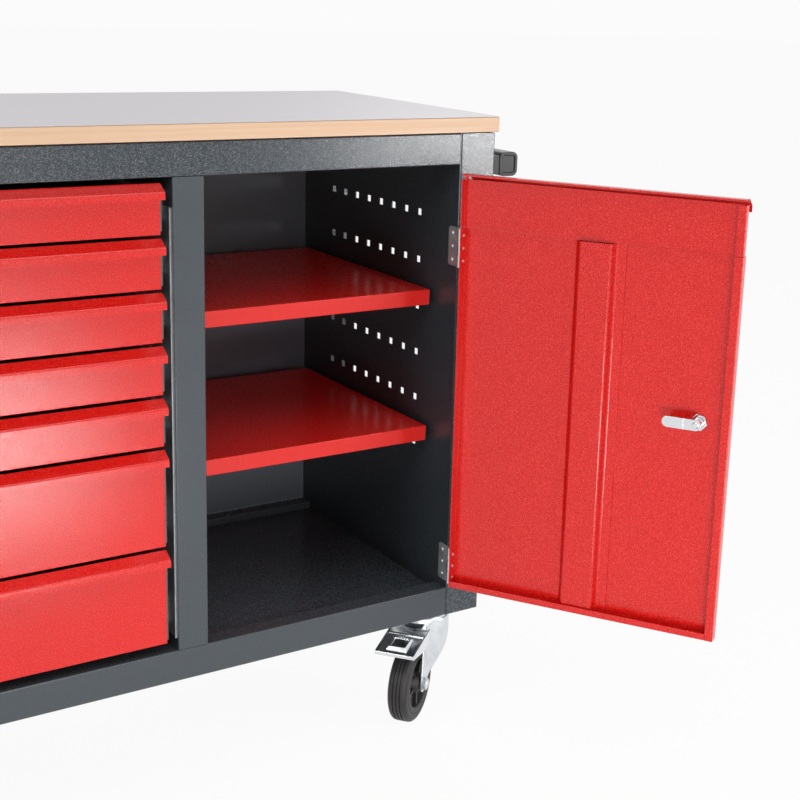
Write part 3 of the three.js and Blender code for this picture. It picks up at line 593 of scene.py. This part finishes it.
def makeTub(name, left, right, low, high):  # an open box with a rim folded in all round
    look = drawerLook
    tub = boxMm(name, left, right, low.y, high.y, low.z, high.z)
    rim, thick = look["rim"], look["rimThick"]
    editing(tub, "FACE")
    pick(tub, "faces", lambda f: facing(f, "Z"))
    bpy.ops.mesh.inset(thickness=rim * mm)
    extrudeBy((0, 0, -thick * mm))
    under = 2 * (rim - look["boxWall"])  # the space under the rim is wider than its opening
    grow = (1 + under / (right - left - 2 * rim), 1 + under / (high.y - low.y - 2 * rim), 1)
    centre = ((left + right) / 2 * mm, (low.y + high.y) / 2 * mm, (high.z - thick) * mm)
    bpy.ops.transform.resize(value=grow, center_override=centre)
    extrudeBy((0, 0, (low.z + look["boxFloor"] - high.z + thick) * mm))
    doneEditing()
    return roundEdges(tub, look["boxEdge"])


def makeDrawer(number):
    look = drawerLook
    body = f"drawer_{number}"
    low, high = nodeBox(f"drawer_front_{number}")
    face, bottom, top = look["face"], low.z, high.z - look["topDrop"]
    lip, lipFold = face - look["lipReach"], top - look["lipDrop"]
    path = [(face + look["return"], bottom), (face, bottom), (face, top), (lip, lipFold),
            (lip, lipFold - look["lipFlange"])]
    front = foldSheet(f"drawerFront{number}", "X", low.x, high.x, path, look["sheet"], look["bend"])
    finishPiece(front, body, "red_paint", texturedRed, f"drawer_front_{number}")
    low, high = nodeBox(f"drawer_box_{number}")
    wallLeft, wallRight = low.x + look["runnerRoom"], high.x - look["runnerRoom"]
    parts = [makeTub(f"drawerBox{number}", wallLeft, wallRight, low, high)]
    level = low.z + look["memberUp"]
    edgeBack, edgeFront = look["sideEdgeY"]
    for side, wall, turn in (("Left", wallLeft, -1), ("Right", wallRight, 1)):
        back = wall + turn * look["memberGap"]
        runner = makeChannel(f"drawerRunner{side}{number}", back, turn, look["memberReach"],
                             level - look["memberGap"], look["memberHigh"], look["memberStart"], high.y)
        finishPiece(runner, body, "zinc", dullZinc)
        edge = [(back, edgeBack), (back, edgeFront), (wall + turn * look["sideEdge"], edgeFront)]
        if turn < 0:
            edge.reverse()
        parts.append(foldSheet("sideEdge", "Z", bottom + look["sideEdgeFoot"], top - look["sideEdgeHead"],
                               edge, -look["boxWall"], 0.8))
    finishPiece(joinAll(*parts), body, "frame_paint", boxGrey, f"drawer_box_{number}")


for number in range(1, drawerLook["count"] + 1):
    makeDrawer(number)

rackLook = {
    "walls": (("Right", "runner_rack_right", 77.7, -1), ("Left", "runner_rack_left", -521.7, 1)),
    "frontEdge": -231, "flange": 1.8, "sheet": 1.5, "memberOut": 1.7, "memberReach": 8, "memberHigh": 36,
    "memberUp": 10.8,
}
for side, node, wall, turn in rackLook["walls"]:
    low, high = nodeBox(node)
    frontEdge = rackLook["frontEdge"]
    path = [(wall + turn * rackLook["flange"], frontEdge), (wall, frontEdge), (wall, high.y)]
    if turn > 0:
        path.reverse()
    parts = [foldSheet("runnerRack" + side, "Z", low.z, high.z, path, rackLook["sheet"], 0)]
    for number in range(1, drawerLook["count"] + 1):
        level = nodeBox(f"drawer_box_{number}")[0].z + rackLook["memberUp"]
        parts.append(makeChannel("member", wall + turn * rackLook["memberOut"], turn, rackLook["memberReach"],
                                 level, rackLook["memberHigh"], low.y, high.y))
    finishPiece(joinAll(*parts), "bench", "zinc", dullZinc, node)
print("drawers made")


# shelves
shelfLook = {
    "sheet": 1.2, "flange": 24, "return": 10, "bend": 1.6, "hole": 8, "flangeTaper": 0.992, "returnTaper": 0.94,
}


def makeTray(name, low, high):  # a skin with flanges folded down all round, returned at the front and back
    look = shelfLook
    deselectAll()
    bpy.ops.mesh.primitive_plane_add(size=1)
    obj = nameAdded(name)
    corners = ((low.x, low.y), (high.x, low.y), (low.x, high.y), (high.x, high.y))
    for v, (x, y) in zip(obj.data.vertices, corners):
        v.co = Vector((x, y, high.z)) * mm
    middleX, middleY = (low.x + high.x) / 2, (low.y + high.y) / 2
    sides = (  # the edge's middle, and the way its return goes
        ((low.x, middleY), None), ((high.x, middleY), None), ((middleX, low.y), 1), ((middleX, high.y), -1),
    )
    editing(obj)
    for place, inward in sides:
        bpy.ops.mesh.select_all(action="DESELECT")
        spot = Vector((*place, high.z)) * mm
        pick(obj, "edges", lambda e: (middle(e) - spot).length < near)
        spot.z -= look["flange"] * mm
        extrudeBy((0, 0, -look["flange"] * mm))
        taper = look["flangeTaper"]
        bpy.ops.transform.resize(value=(taper, 1, 1) if inward else (1, taper, 1), center_override=spot)
        if inward:
            step = Vector((0, inward * look["return"] * mm, 0))
            extrudeBy(step)
            bpy.ops.transform.resize(value=(look["returnTaper"], 1, 1), center_override=spot + step)
    bpy.ops.mesh.select_all(action="DESELECT")
    pick(obj, "edges", lambda e: len(e.link_faces) == 2)
    bpy.ops.mesh.bevel(offset=look["bend"] * mm, segments=sheetLook["bendSteps"], affect="EDGES")
    pointOutwards()
    doneEditing()
    return giveThickness(obj, look["sheet"], -1)


for place in ("upper", "lower"):
    low, high = nodeBox("shelf_" + place)
    shelf = makeTray(place + "Shelf", low, high)
    half = shelfLook["hole"] / 2
    y, z = (low.y + high.y) / 2, (low.z + high.z) / 2
    cutAway(shelf, boxMm("shelfHole", low.x - 3, low.x + 4, y - half, y + half, z - half, z + half))
    finishPiece(shelf, f"shelf_{place}_body", "red_paint", smoothRed, "shelf_" + place)
print("shelves made")


# door, laid out shut about its hinge axis, then turned open
doorLook = {
    "axis": (519.5, -249, 0), "open": 122, "free": -422, "hingeSide": -4, "skin": -9, "headSkin": -3, "rim": 9,
    "bottom": 240, "top": 880, "headBottom": 802, "sheet": 1.2, "bend": 1.5, "endGap": 1.3, "lapThick": 0.55,
    "freeReturn": 12, "bottomReturn": 10, "lipReach": 17, "lipDrop": 10, "lipFlange": 9, "lipStart": 5,
}
lockLook = {
    "x": -375, "z": 560, "headRound": 12, "barrel": 7.8, "keyway": (0.8, 4), "panelHole": 8.3,
    "nut": 22, "nutThick": 5, "nutTurn": 12, "cam": 49, "camWide": 16, "camThick": 2,
}


def toDoor(obj):
    return turnAbout(obj, doorLook["open"], doorLook["axis"])


def makeDoorPanel():
    d, k = doorLook, lockLook
    free, hinge, skin, rim, sheet = d["free"], d["hingeSide"], d["skin"], d["rim"], d["sheet"]
    bottom, seam = d["bottom"], d["headBottom"] - 0.4
    start, end = free + d["endGap"], hinge - d["endGap"]
    profile = [(hinge, rim), (hinge, skin), (free, skin), (free, rim), (free + d["freeReturn"], rim)]
    pan = foldSheet("doorPanel", "Z", bottom + 0.2, seam, profile, sheet, d["bend"])
    path = [(skin + 1, bottom), (rim, bottom), (rim, bottom + d["bottomReturn"])]
    foot = foldSheet("doorFoot", "X", start, end, path, -sheet, 1.2)
    cutAway(foot, boxMm("footNotch", free, free + d["freeReturn"] + 0.2, rim - 1.3, rim + 1,
                        bottom - 1, bottom + d["bottomReturn"] + 1))  # the foot butts on the free return
    ledge = foldSheet("doorLedge", "X", start, end, [(skin + 1, seam), (d["headSkin"] + 1.2, seam)], sheet, 0)
    lapY = d["headSkin"] + 0.1
    path = [(lapY, d["headBottom"] - 1.2), (lapY, d["headBottom"] + 1.6)]
    lap = foldSheet("doorLap", "X", free + 1.6, hinge - 1.6, path, d["lapThick"], 0)
    hole = [(0, -14), (k["panelHole"], -14), (k["panelHole"], 0), (0, 0)]
    cutAway(pan, spinProfile("lockHole", "Y", (k["x"], 0, k["z"]), hole, 24))
    return joinAll(pan, foot, ledge, lap)


def makeDoorHead():
    d = doorLook
    free, hinge, skin, rim = d["free"], d["hingeSide"], d["headSkin"], d["rim"]
    sheet, top = d["sheet"], d["top"]
    profile = [(hinge, rim), (hinge, skin), (free, skin), (free, rim), (free + d["freeReturn"], rim)]
    band = foldSheet("doorHead", "Z", d["headBottom"] + 0.5, top - 8, profile, sheet, d["bend"])
    path = [(skin + 0.6, top), (rim, top), (rim, top - 3)]
    cap = foldSheet("doorCap", "X", free + d["endGap"], hinge - d["endGap"], path, sheet, 1.0)
    lipTop, lipY = top - 1.2, skin - d["lipReach"]
    path = [(skin + 0.8, lipTop), (skin - 1, lipTop), (lipY, lipTop - d["lipDrop"]),
            (lipY, lipTop - d["lipDrop"] - d["lipFlange"])]
    lip = foldSheet("doorLip", "X", free, hinge - d["lipStart"], path, sheet, 1.4)
    path = [(skin, top - 9), (skin, top - 0.6)]
    ear = foldSheet("doorHeadEar", "X", hinge - d["lipStart"] - 1, hinge - d["endGap"], path, sheet, 0)
    return joinAll(band, cap, lip, ear)


stiffenerLook = {
    "centre": -210, "halfFoot": 44, "halfBase": 29, "halfTop": 24, "rise": 10.8, "sheet": 1.2, "bend": 3.4,
}


def makeStiffener():
    d, s = doorLook, stiffenerLook
    foot = d["skin"] + d["sheet"] + 0.3 + s["sheet"]
    crest = foot + s["rise"]
    half = [(s["halfFoot"], foot), (s["halfBase"], foot), (s["halfTop"], crest)]
    path = [(s["centre"] + x, y) for x, y in half] + [(s["centre"] - x, y) for x, y in reversed(half)]
    return foldSheet("doorStiffener", "Z", d["bottom"] + 1.6, d["headBottom"] - 2, path, -s["sheet"], s["bend"])


finishPiece(toDoor(makeDoorPanel()), "door", "red_paint", texturedRed, "door_panel")
finishPiece(toDoor(makeDoorHead()), "door", "red_paint", texturedRed, "door_head")
finishPiece(toDoor(makeStiffener()), "door", "red_paint", texturedRed, "door_stiffener")


def makeLock():
    k = lockLook
    x, z, head, body = k["x"], k["z"], k["headRound"], k["barrel"]
    centre = (x, 0, z)
    profile = [(0, -12), (head - 1.2, -12), (head, -11.2), (head, -9.3), (body, -9.3), (body, 11.6),
               (body - 0.6, 12.2), (0, 12.2)]
    barrel = spinProfile("lockBarrel", "Y", centre, profile, 32)
    wide, tall = k["keyway"]
    cutAway(barrel, boxMm("keyway", x - wide, x + wide, -14, -10, z - tall, z + tall))
    finishPiece(toDoor(barrel), "door", "zinc", polishedZinc, "lock_barrel")
    outline = hexagon(x, z, k["nut"] / math.sqrt(3), k["nutTurn"])
    nut = cutPlate("lockNut", "Y", -7.4, outline, k["nutThick"], 0.8)
    cutAway(nut, spinProfile("nutBore", "Y", centre, [(0, -10), (8.2, -10), (8.2, 5), (0, 5)], 24))
    finishPiece(toDoor(nut), "door", "zinc", polishedZinc, "lock_nut")
    half = k["camWide"] / 2

    def roundEnd(x, start):
        angles = [math.radians(a) for a in range(start, start + 181, 20)]
        return [(x + half * math.cos(a), z + half * math.sin(a)) for a in angles]

    outline = roundEnd(x + k["cam"] - half, -90) + roundEnd(x, 90)
    plate = cutPlate("lockCam", "Y", 12.5, outline, k["camThick"])
    cutAway(plate, boxMm("camCrank", x + 15, x + 18, 13.5, 16, z - 12, z + 12))
    screw = spinProfile("camScrew", "Y", centre, [(0, 14), (4.8, 14), (4.8, 15.6), (4, 16.7), (0, 17)], 24)
    cutAway(screw, boxMm("screwSlot", x - 6, x + 6, 15.9, 18, z - 0.7, z + 0.7))
    finishPiece(toDoor(joinAll(plate, screw)), "cam", "zinc", polishedZinc, "lock_cam")


makeLock()

hingeLook = {
    "barrel": 3.2, "pin": 1.6, "bore": 1.8, "high": 58, "reach": 31, "corner": 4, "edge": 0.3,
    "leafX": (0.7, 2.2), "doorLeafX": (-3.7, -2.2),
    "frameRivets": (9, 29, 49), "doorRivets": (10, 29, 48), "rivetY": (21, -2),
}


def makeFrameLeaf(place, low, high, third):
    k = hingeLook
    r, pin, x0, x1 = k["barrel"], k["pin"], *k["leafX"]
    plate = boxMm(place + "HingeFrameLeaf", x0, x1, 3.5, k["reach"], low, high)
    roundCorners(plate, "X", k["corner"], 5, lambda e: middle(e).y > 10 * mm)
    doneEditing()
    parts = [roundEdges(plate, k["edge"], 2, 60)]
    tall = third - 0.4
    profile = [(0, 0), (r - 0.4, 0), (r, 0.4), (r, tall - 0.4), (r - 0.4, tall), (0, tall)]
    for z in (low, low + 2 * third + 0.3):
        parts.append(spinProfile("knuckle", "Z", (0, 0, z), profile, 20))
        parts.append(boxMm("neck", x0, x1, 0, 4.5, z, z + tall))
    profile = [(0, 0.5), (pin, 0.5), (pin, k["high"] - 0.5), (0, k["high"] - 0.5)]
    parts.append(spinProfile("pin", "Z", (0, 0, low), profile, 12))
    profile = [(0, -0.6), (1.4, -0.5), (2.6, 0.2), (3, 0.8), (0, 0.8)]
    for up in k["frameRivets"]:
        parts.append(spinProfile("rivet", "X", (0, k["rivetY"][0], low + up), profile, 16))
    return joinAll(*parts)


def makeDoorLeaf(place, low, high, third):
    k = hingeLook
    r, bore, x0, x1 = k["barrel"], k["bore"], *k["doorLeafX"]
    parts = [roundEdges(boxMm(place + "HingeDoorLeaf", x0, x1, -8, -3.5, low, high), k["edge"], 2, 60)]
    tall = third - 0.6
    profile = [(bore, 0), (r - 0.4, 0), (r, 0.4), (r, tall - 0.4), (r - 0.4, tall), (bore, tall), (bore, 0)]
    z = low + third + 0.3
    parts.append(spinProfile("knuckle", "Z", (0, 0, z), profile, 20))
    parts.append(boxMm("neck", x0, x1, -4.2, 0, z, low + 2 * third - 0.3))
    inside = doorLook["hingeSide"] - doorLook["sheet"]
    profile = [(0, -1.5), (1.4, -1.3), (2.4, -0.4), (2.4, 0.6), (0, 0.6)]
    for up in k["doorRivets"]:
        parts.append(spinProfile("rivet", "X", (inside, k["rivetY"][1], low + up), profile, 16))
    return joinAll(*parts)


for place in ("upper", "lower"):
    low, high = nodeBox(f"hinge_{place}_frame_leaf")
    third = hingeLook["high"] / 3
    leaf = turnAbout(makeFrameLeaf(place, low.z, high.z, third), 0, doorLook["axis"])
    finishPiece(leaf, "bench", "zinc", dullZinc, f"hinge_{place}_frame_leaf")
    leaf = toDoor(makeDoorLeaf(place, low.z, high.z, third))
    finishPiece(leaf, "door", "zinc", brightZinc, f"hinge_{place}_door_leaf")
print("door made")


# push handle
handleLook = {
    "round": 9, "roundSteps": 6, "edge": 0.7, "capInset": 5, "capDepth": 1.6,
    "bracketInset": 4, "bracketWaist": 0.85, "bracketEdge": 1,
}
bar = startBox("handleBar", *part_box("handle_bar"))
roundCorners(bar, "Y", handleLook["round"], handleLook["roundSteps"])
bpy.ops.mesh.select_mode(type="FACE")
for side in (-1, 1):  # end caps with a sunk face
    bpy.ops.mesh.select_all(action="DESELECT")
    pick(bar, "faces", lambda f: facing(f, "Y", side))
    bpy.ops.mesh.inset(thickness=handleLook["capInset"] * mm)
    extrudeBy((0, -side * handleLook["capDepth"] * mm, 0))
doneEditing()
finishPiece(roundEdges(bar, handleLook["edge"], 3), "bench", "grip", satinBlack, "handle_bar")
for place in ("front", "rear"):
    low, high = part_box("handle_bracket_" + place)
    bracket = startBox("handleBracket_" + place, low, high)
    editing(bracket, "FACE")
    pick(bracket, "faces", lambda f: facing(f, "Z") or facing(f, "Z", -1))
    bpy.ops.mesh.inset(thickness=handleLook["bracketInset"] * mm, use_individual=True)
    bpy.ops.transform.resize(value=(1, 1, handleLook["bracketWaist"]), center_override=(low + high) / 2)
    doneEditing()
    roundEdges(bracket, handleLook["bracketEdge"], 3)
    finishPiece(bracket, "bench", "grip", satinBlack, "handle_bracket_" + place)
print("handle made")


# casters, laid out about the swivel axis with the wheel ahead along +X
casterLook = {
    "radius": 63, "trail": 46, "yaw": -142, "crown": 176.1, "fixedCrown": 181.7, "plateTop": 184.7,
    "right": 522, "left": -522, "front": -170, "rear": 170,
}
wheelLook = {
    "half": 16.5, "hubHalf": 19, "rim": 40, "ribPitch": 5.8, "grooveDeep": 1.8, "spokes": 5, "spokeTurn": 20,
}


def makeWheel(name, trail, spot, yaw, body, node):
    w, r = wheelLook, casterLook["radius"]
    h, hub, rim = w["half"], w["hubHalf"], w["rim"]
    shoulder = [(-h + 0.4, r - 6), (-h + 2, r - 3), (-h + 4, r - 1.2), (-h + 5.6, r - 0.4)]
    ribs = []
    for k in (-1, 0, 1):  # grooves between the raised ribs
        y, deep = k * w["ribPitch"], r - w["grooveDeep"]
        ribs += [(y - 1.1, r), (y - 0.8, deep), (y + 0.8, deep), (y + 1.1, r)]
    tread = shoulder + ribs + [(-y, q) for y, q in reversed(shoulder)]
    side = [(h, r - 9), (h - 0.8, rim + 10), (h - 1.6, rim + 9), (h - 0.4, rim + 8), (h - 0.2, rim + 3),
            (h - 1.5, rim), (h - 9, rim - 2), (h - 9.5, 18), (h - 3, 15.5),
            (hub - 0.6, 13.5), (hub, 12.5), (hub, 5.4)]
    points = [(q, -y) for y, q in reversed(side)] + [(q, y) for y, q in tread + side]
    wheel = spinProfile(name, "Y", (trail, 0, r), points + [points[0]], 64)
    spokes = []
    for k in range(w["spokes"]):  # ribs of the rim on both faces
        for y0, y1 in ((h - 9.8, h - 4), (-h + 4, -h + 9.8)):
            spoke = roundEdges(boxMm("spoke", 14, rim - 1, y0, y1, -3, 3), 1)
            turn = Matrix.Rotation(math.radians(360 / w["spokes"] * k + w["spokeTurn"]), 4, "Y")
            spoke.matrix_world = Matrix.Translation(Vector((trail, 0, r)) * mm) @ turn
            spokes.append(spoke)
    turnAbout(joinAll(wheel, *spokes), yaw, (*spot, 0))
    return finishPiece(wheel, body, "tyre", ribbedRubber, node, smooth=30)


forkLook = {
    "gap": 21, "sheet": 3, "hood": 42, "columns": 14, "flareFrom": 36, "flareOver": 22,
    "nut": 9.8, "nutThick": 4.8, "washer": 11.2, "washerThick": 1.3, "axle": 5,
    # height, front edge and rear edge of a leg, and how far it takes the hood's round form
    "legRows": (
        (49, 50, 41, 0), (53, 55, 36, 0), (63, 58, 33, 0.03), (75, 55, 24, 0.15), (90, 53, 4, 0.45),
        (105, 52, -14, 0.72), (118, 51, -29, 0.9), (130, 46, -36, 1), (142, 40, -39, 1), (155, 36, -39, 1),
        (165, 35, -39, 1),
    ),
}


def makeLeg(side):  # one pressed leg: flat at the axle, flared into the round hood above
    f = forkLook
    rows, columns, gap, hood = f["legRows"], f["columns"], f["gap"], f["hood"]
    deselectAll()
    bpy.ops.mesh.primitive_grid_add(x_subdivisions=columns - 1, y_subdivisions=len(rows) - 1, size=1)
    leg = nameAdded("leg")
    cells = sorted(leg.data.vertices, key=lambda v: (round(v.co.y, 4), round(v.co.x, 4)))
    for index, v in enumerate(cells):
        z, xFront, xRear, flare = rows[index // columns]
        x = xRear + (xFront - xRear) * (index % columns) / (columns - 1)
        bulge = max(math.sqrt(max(hood * hood - x * x, 0)), gap) - gap
        ease = min(max((f["flareFrom"] - x) / f["flareOver"], 0), 1)
        out = gap + f["sheet"] / 2 + bulge * flare * ease * ease * (3 - 2 * ease)
        v.co = Vector((x, side * out, z)) * mm
    useModifier(leg, "SOLIDIFY", thickness=f["sheet"] * mm, offset=0)
    return useModifier(leg, "SUBSURF", levels=1, render_levels=1)


def makeHood(name, crown):
    dish = [(0, -7), (30, -7), (36, -10), (38.6, -15), (42, -15), (41.6, -10.5), (39.5, -6.5), (35, -3.5),
            (30, -2), (29, 0), (0, 0)]
    pivotX, pivotZ = pedalLook["pivot"]
    pin = spinProfile("pin", "Y", (pivotX, 0, pivotZ), [(0, -24), (3, -24), (3, 24), (0, 24)], 16)
    return [spinProfile(name, "Z", (0, 0, crown), dish), makeLeg(1), makeLeg(-1), pin]


def makeCheeks(name, crown):  # the fixed fork: a bridge and two flat cheeks
    f, r = forkLook, casterLook["radius"]
    end = f["gap"] + f["sheet"]
    half = [(36, crown), (36, crown - 26), (31, crown - 50), (18, r + 12), (12, r - 4), (6, r - 11)]
    outline = [(-x, z) for x, z in half] + list(reversed(half))
    bridge = roundEdges(boxMm(name, -36, 36, -end, end, crown - 6, crown), 1.5, 3)
    return [bridge] + [cutPlate("cheek", "Y", y, outline, f["sheet"], 0.8) for y in (f["gap"], -end)]


def makeFork(name, trail, crown):
    f, r = forkLook, casterLook["radius"]
    end, axle = f["gap"] + f["sheet"], f["axle"]
    parts = makeHood(name, crown) if trail else makeCheeks(name, crown)
    tip = end + 6.8
    profile = [(0, -tip), (axle - 0.8, -tip), (axle, -end - 6), (axle, end + 6), (axle - 0.8, tip), (0, tip)]
    parts.append(spinProfile("axle", "Y", (trail, 0, r), profile, 20))
    for nutLow, washer in ((end + 1.2, end - 0.1), (-end - 6, -end - 1.2)):
        parts.append(cutPlate("axleNut", "Y", nutLow, hexagon(trail, r, f["nut"]), f["nutThick"], 1))
        wide, high = f["washer"], washer + f["washerThick"]
        ring = [(4.8, washer), (wide, washer), (wide, high), (4.8, high), (4.8, washer)]
        parts.append(spinProfile("axleWasher", "Y", (trail, 0, r), ring, 28))
    return joinAll(*parts)


pedalLook = {
    "pivot": (8, 160), "tip": (120, 141), "half": 32, "start": 46, "rimHigh": 4.5, "flank": 2.2,
    "stud": (80, 113, 17),  # start, end and half width
}


def makePedal(name):
    k = pedalLook
    half, start, tip = k["half"], k["start"], k["tip"][0]
    pivotX, pivotZ = k["pivot"]
    fall = (pivotZ - k["tip"][1]) / (tip - pivotX)

    def slope(x):
        return pivotZ - fall * (x - pivotX)

    tread = foldSheet(name, "Y", -half + 1, half - 1, [(tip, slope(tip)), (start, slope(start))], 2, 0)
    neck = foldSheet("pedalNeck", "Y", -17, 17, [(50, slope(50) - 0.6), (9, slope(9) - 0.6)], 2.6, 0)
    nose = roundEdges(boxMm("pedalNose", tip - 1, tip + 2, -half, half, 138, 144.2), 1.3, 3)
    outline = [(121, 144.6), (121, 137.5), (68, 130.5), (50, 133), (45, 146), (45.5, slope(45) + k["rimHigh"])]
    flanks = [cutPlate("pedalFlank", "Y", y, outline, k["flank"], 0.7) for y in (half - k["flank"], -half)]
    profile = [(3.4, -18.6), (6.4, -18.6), (7, -18), (7, 18), (6.4, 18.6), (3.4, 18.6), (3.4, -18.6)]
    knuckle = spinProfile("pedalKnuckle", "Y", (pivotX, 0, pivotZ), profile, 24)
    studStart, studEnd, studHalf = k["stud"]
    stud = boxMm("pedalPressing", studStart, studEnd, -studHalf, studHalf, 0, 2)
    editing(stud, "FACE")
    pick(stud, "faces", lambda f: facing(f, "Z"))
    extrudeBy((0, 0, 5 * mm))
    bpy.ops.transform.resize(value=(0.8, 0.8, 1), center_override=((studStart + studEnd) / 2 * mm, 0, 7 * mm))
    bpy.ops.mesh.inset(thickness=2.5 * mm)
    extrudeBy((0, 0, -2.5 * mm))
    doneEditing()
    for v in stud.data.vertices:  # lay the pressing on the sloping tread
        v.co.z += (slope(v.co.x / mm) + 1) * mm
    wave = boxMm("pedalWave", 58, 70, -half + 2.4, half - 2.4, slope(64) - 1, slope(64) + 4)
    return joinAll(tread, neck, nose, *flanks, knuckle, roundEdges(stud, 0.8, 3, 30), roundEdges(wave, 2.4, 4))


plateLook = {
    "half": (50, 42.5), "thick": 4, "corner": 8, "boss": 30,
    "bolts": (40, 32), "boltRound": 7.5, "boltHigh": 5.4,
}


def makePlate(name, withBoss):
    k, top = plateLook, casterLook["plateTop"]
    a, b = k["half"]
    plate = boxMm(name, -a, a, -b, b, top - k["thick"], top)
    roundCorners(plate, "Z", k["corner"], 6)
    doneEditing()
    parts = [roundEdges(plate, 0.6, 2, 50)]
    boltX, boltY = k["bolts"]
    for x in (-boltX, boltX):
        for y in (-boltY, boltY):
            parts.append(cutPlate("boltHead", "Z", top - 9, hexagon(x, y, k["boltRound"]), k["boltHigh"], 0.7))
    if withBoss:
        profile = [(0, 0), (k["boss"] - 2, 0), (k["boss"], 1.2), (k["boss"], 4.5), (0, 4.5)]
        parts.append(spinProfile("raceBoss", "Z", (0, 0, top - 8), profile, 40))
    return joinAll(*parts)


def makeSwivelCaster(place):
    c = casterLook
    spot, yaw, trail = (c["right"], c[place]), c["yaw"], c["trail"]
    plate = turnAbout(makePlate(f"casterPlate_{place}", True), 0, (*spot, 0))
    finishPiece(plate, "bench", "zinc", brightZinc, f"caster_{place}_right_plate")
    fork = turnAbout(makeFork(f"casterFork_{place}", trail, c["crown"]), yaw, (*spot, 0))
    finishPiece(fork, f"swivel_{place}_right", "zinc", brightZinc, f"caster_{place}_right_fork")
    makeWheel(f"casterWheel_{place}", trail, spot, yaw, f"wheel_{place}_right", f"caster_{place}_right_wheel")
    pedal = turnAbout(makePedal(f"brakePedal_{place}"), yaw, (*spot, 0))
    finishPiece(pedal, f"pedal_{place}_right", "zinc", polishedZinc, f"caster_{place}_right_pedal")


def makeFixedCaster(place):
    c = casterLook
    spot = (c["left"], c[place])
    fork = joinAll(makeFork(f"fixedFork_{place}", 0, c["fixedCrown"]), makePlate("fixedPlate", False))
    finishPiece(turnAbout(fork, 0, (*spot, 0)), "bench", "zinc", brightZinc, f"caster_{place}_left_fork")
    makeWheel(f"fixedWheel_{place}", 0, spot, 0, f"wheel_{place}_left", f"caster_{place}_left_wheel")


for place in ("front", "rear"):
    makeSwivelCaster(place)
    makeFixedCaster(place)
print("casters made")


# floor, light and backdrop
studio = {
    "floor": (0.86, 0.86, 0.86), "floorRoughness": 0.9, "floorGlow": 0.94, "floorSize": 60, "floorZ": -0.0005,
    "backdrop": 0.965, "world": 0.2,
}
softboxes = {  # place, aim, width, height, watts
    "overheadSoftbox": ((0, -1.5, 3.2), (0.1, 0, 0.5), 2.4, 2.4, 31),
    "lowFrontSoftbox": ((0.1, -1.5, 0.17), (-0.05, -0.2, 0.45), 0.45, 0.25, 6),
    "rightFrontSoftbox": ((1.54, -1.65, 0.82), (0.5, -0.2, 0.9), 0.4, 0.3, 11),
    "doorSoftbox": ((-3.0, -0.9, 1.7), (0.6, -0.5, 0.5), 1.0, 0.7, 24),
    "frontKeySoftbox": ((0, -2.9, 0.8), (0.1, 0.2, 0.6), 1.0, 0.8, 6),
    "rearRightSoftbox": ((2.4, 2.0, 2.8), (0.2, 0, 0.5), 1.4, 1.4, 22),
    "rearLeftSoftbox": ((-1.6, 2.6, 2.8), (-0.2, 0, 0.5), 1.4, 1.4, 22),
    "leftSoftbox": ((-3.2, 0.2, 1.2), (-0.5, 0, 0.5), 1.4, 1.2, 8),
}


def seenShare(nodes, links, low, high):  # high for what the camera, metal or glass sees, low for the rest
    path = nodes.new("ShaderNodeLightPath")
    total = path.outputs["Is Camera Ray"]
    for ray in ("Is Glossy Ray", "Is Transmission Ray"):
        more = nodes.new("ShaderNodeMath")
        more.operation = "MAXIMUM"
        links.new(total, more.inputs[0])
        links.new(path.outputs[ray], more.inputs[1])
        total = more.outputs["Value"]
    share = nodes.new("ShaderNodeMapRange")
    share.inputs["To Min"].default_value = low
    share.inputs["To Max"].default_value = high
    links.new(total, share.inputs["Value"])
    return share.outputs["Result"]


deselectAll()
bpy.ops.mesh.primitive_plane_add(size=studio["floorSize"], location=(0, 0, studio["floorZ"]))
floor = bpy.context.object
floor.name = "studioFloor"
material, nodes, links, shader = newFinish("paleFloor")
shader.inputs["Base Color"].default_value = (*studio["floor"], 1)
shader.inputs["Roughness"].default_value = studio["floorRoughness"]
glow = nodes.new("ShaderNodeEmission")
glow.inputs["Strength"].default_value = 1
blend = nodes.new("ShaderNodeMixShader")
links.new(seenShare(nodes, links, 0, studio["floorGlow"]), blend.inputs["Fac"])
links.new(shader.outputs["BSDF"], blend.inputs[1])
links.new(glow.outputs["Emission"], blend.inputs[2])
links.new(blend.outputs["Shader"], nodes["Material Output"].inputs["Surface"])
floor.data.materials.append(material)

world = bpy.data.worlds.new("studioWorld")
bpy.context.scene.world = world
world.use_nodes = True
nodes, links = world.node_tree.nodes, world.node_tree.links
background = nodes["Background"]
background.inputs["Color"].default_value = (1, 1, 1, 1)
links.new(seenShare(nodes, links, studio["world"], studio["backdrop"]), background.inputs["Strength"])


def addSoftbox(name, place, aim, width, height, watts):
    deselectAll()
    bpy.ops.object.light_add(type="AREA", location=place)
    lamp = bpy.context.object
    lamp.name = name
    lamp.data.shape = "RECTANGLE"
    lamp.data.size, lamp.data.size_y = width, height
    lamp.data.energy = watts
    lamp.visible_camera = False
    lamp.rotation_euler = (Vector(aim) - Vector(place)).to_track_quat("-Z", "Y").to_euler()


for name, setting in softboxes.items():
    addSoftbox(name, *setting)

bpy.context.scene.view_settings.view_transform = "Standard"
print("studio ready")
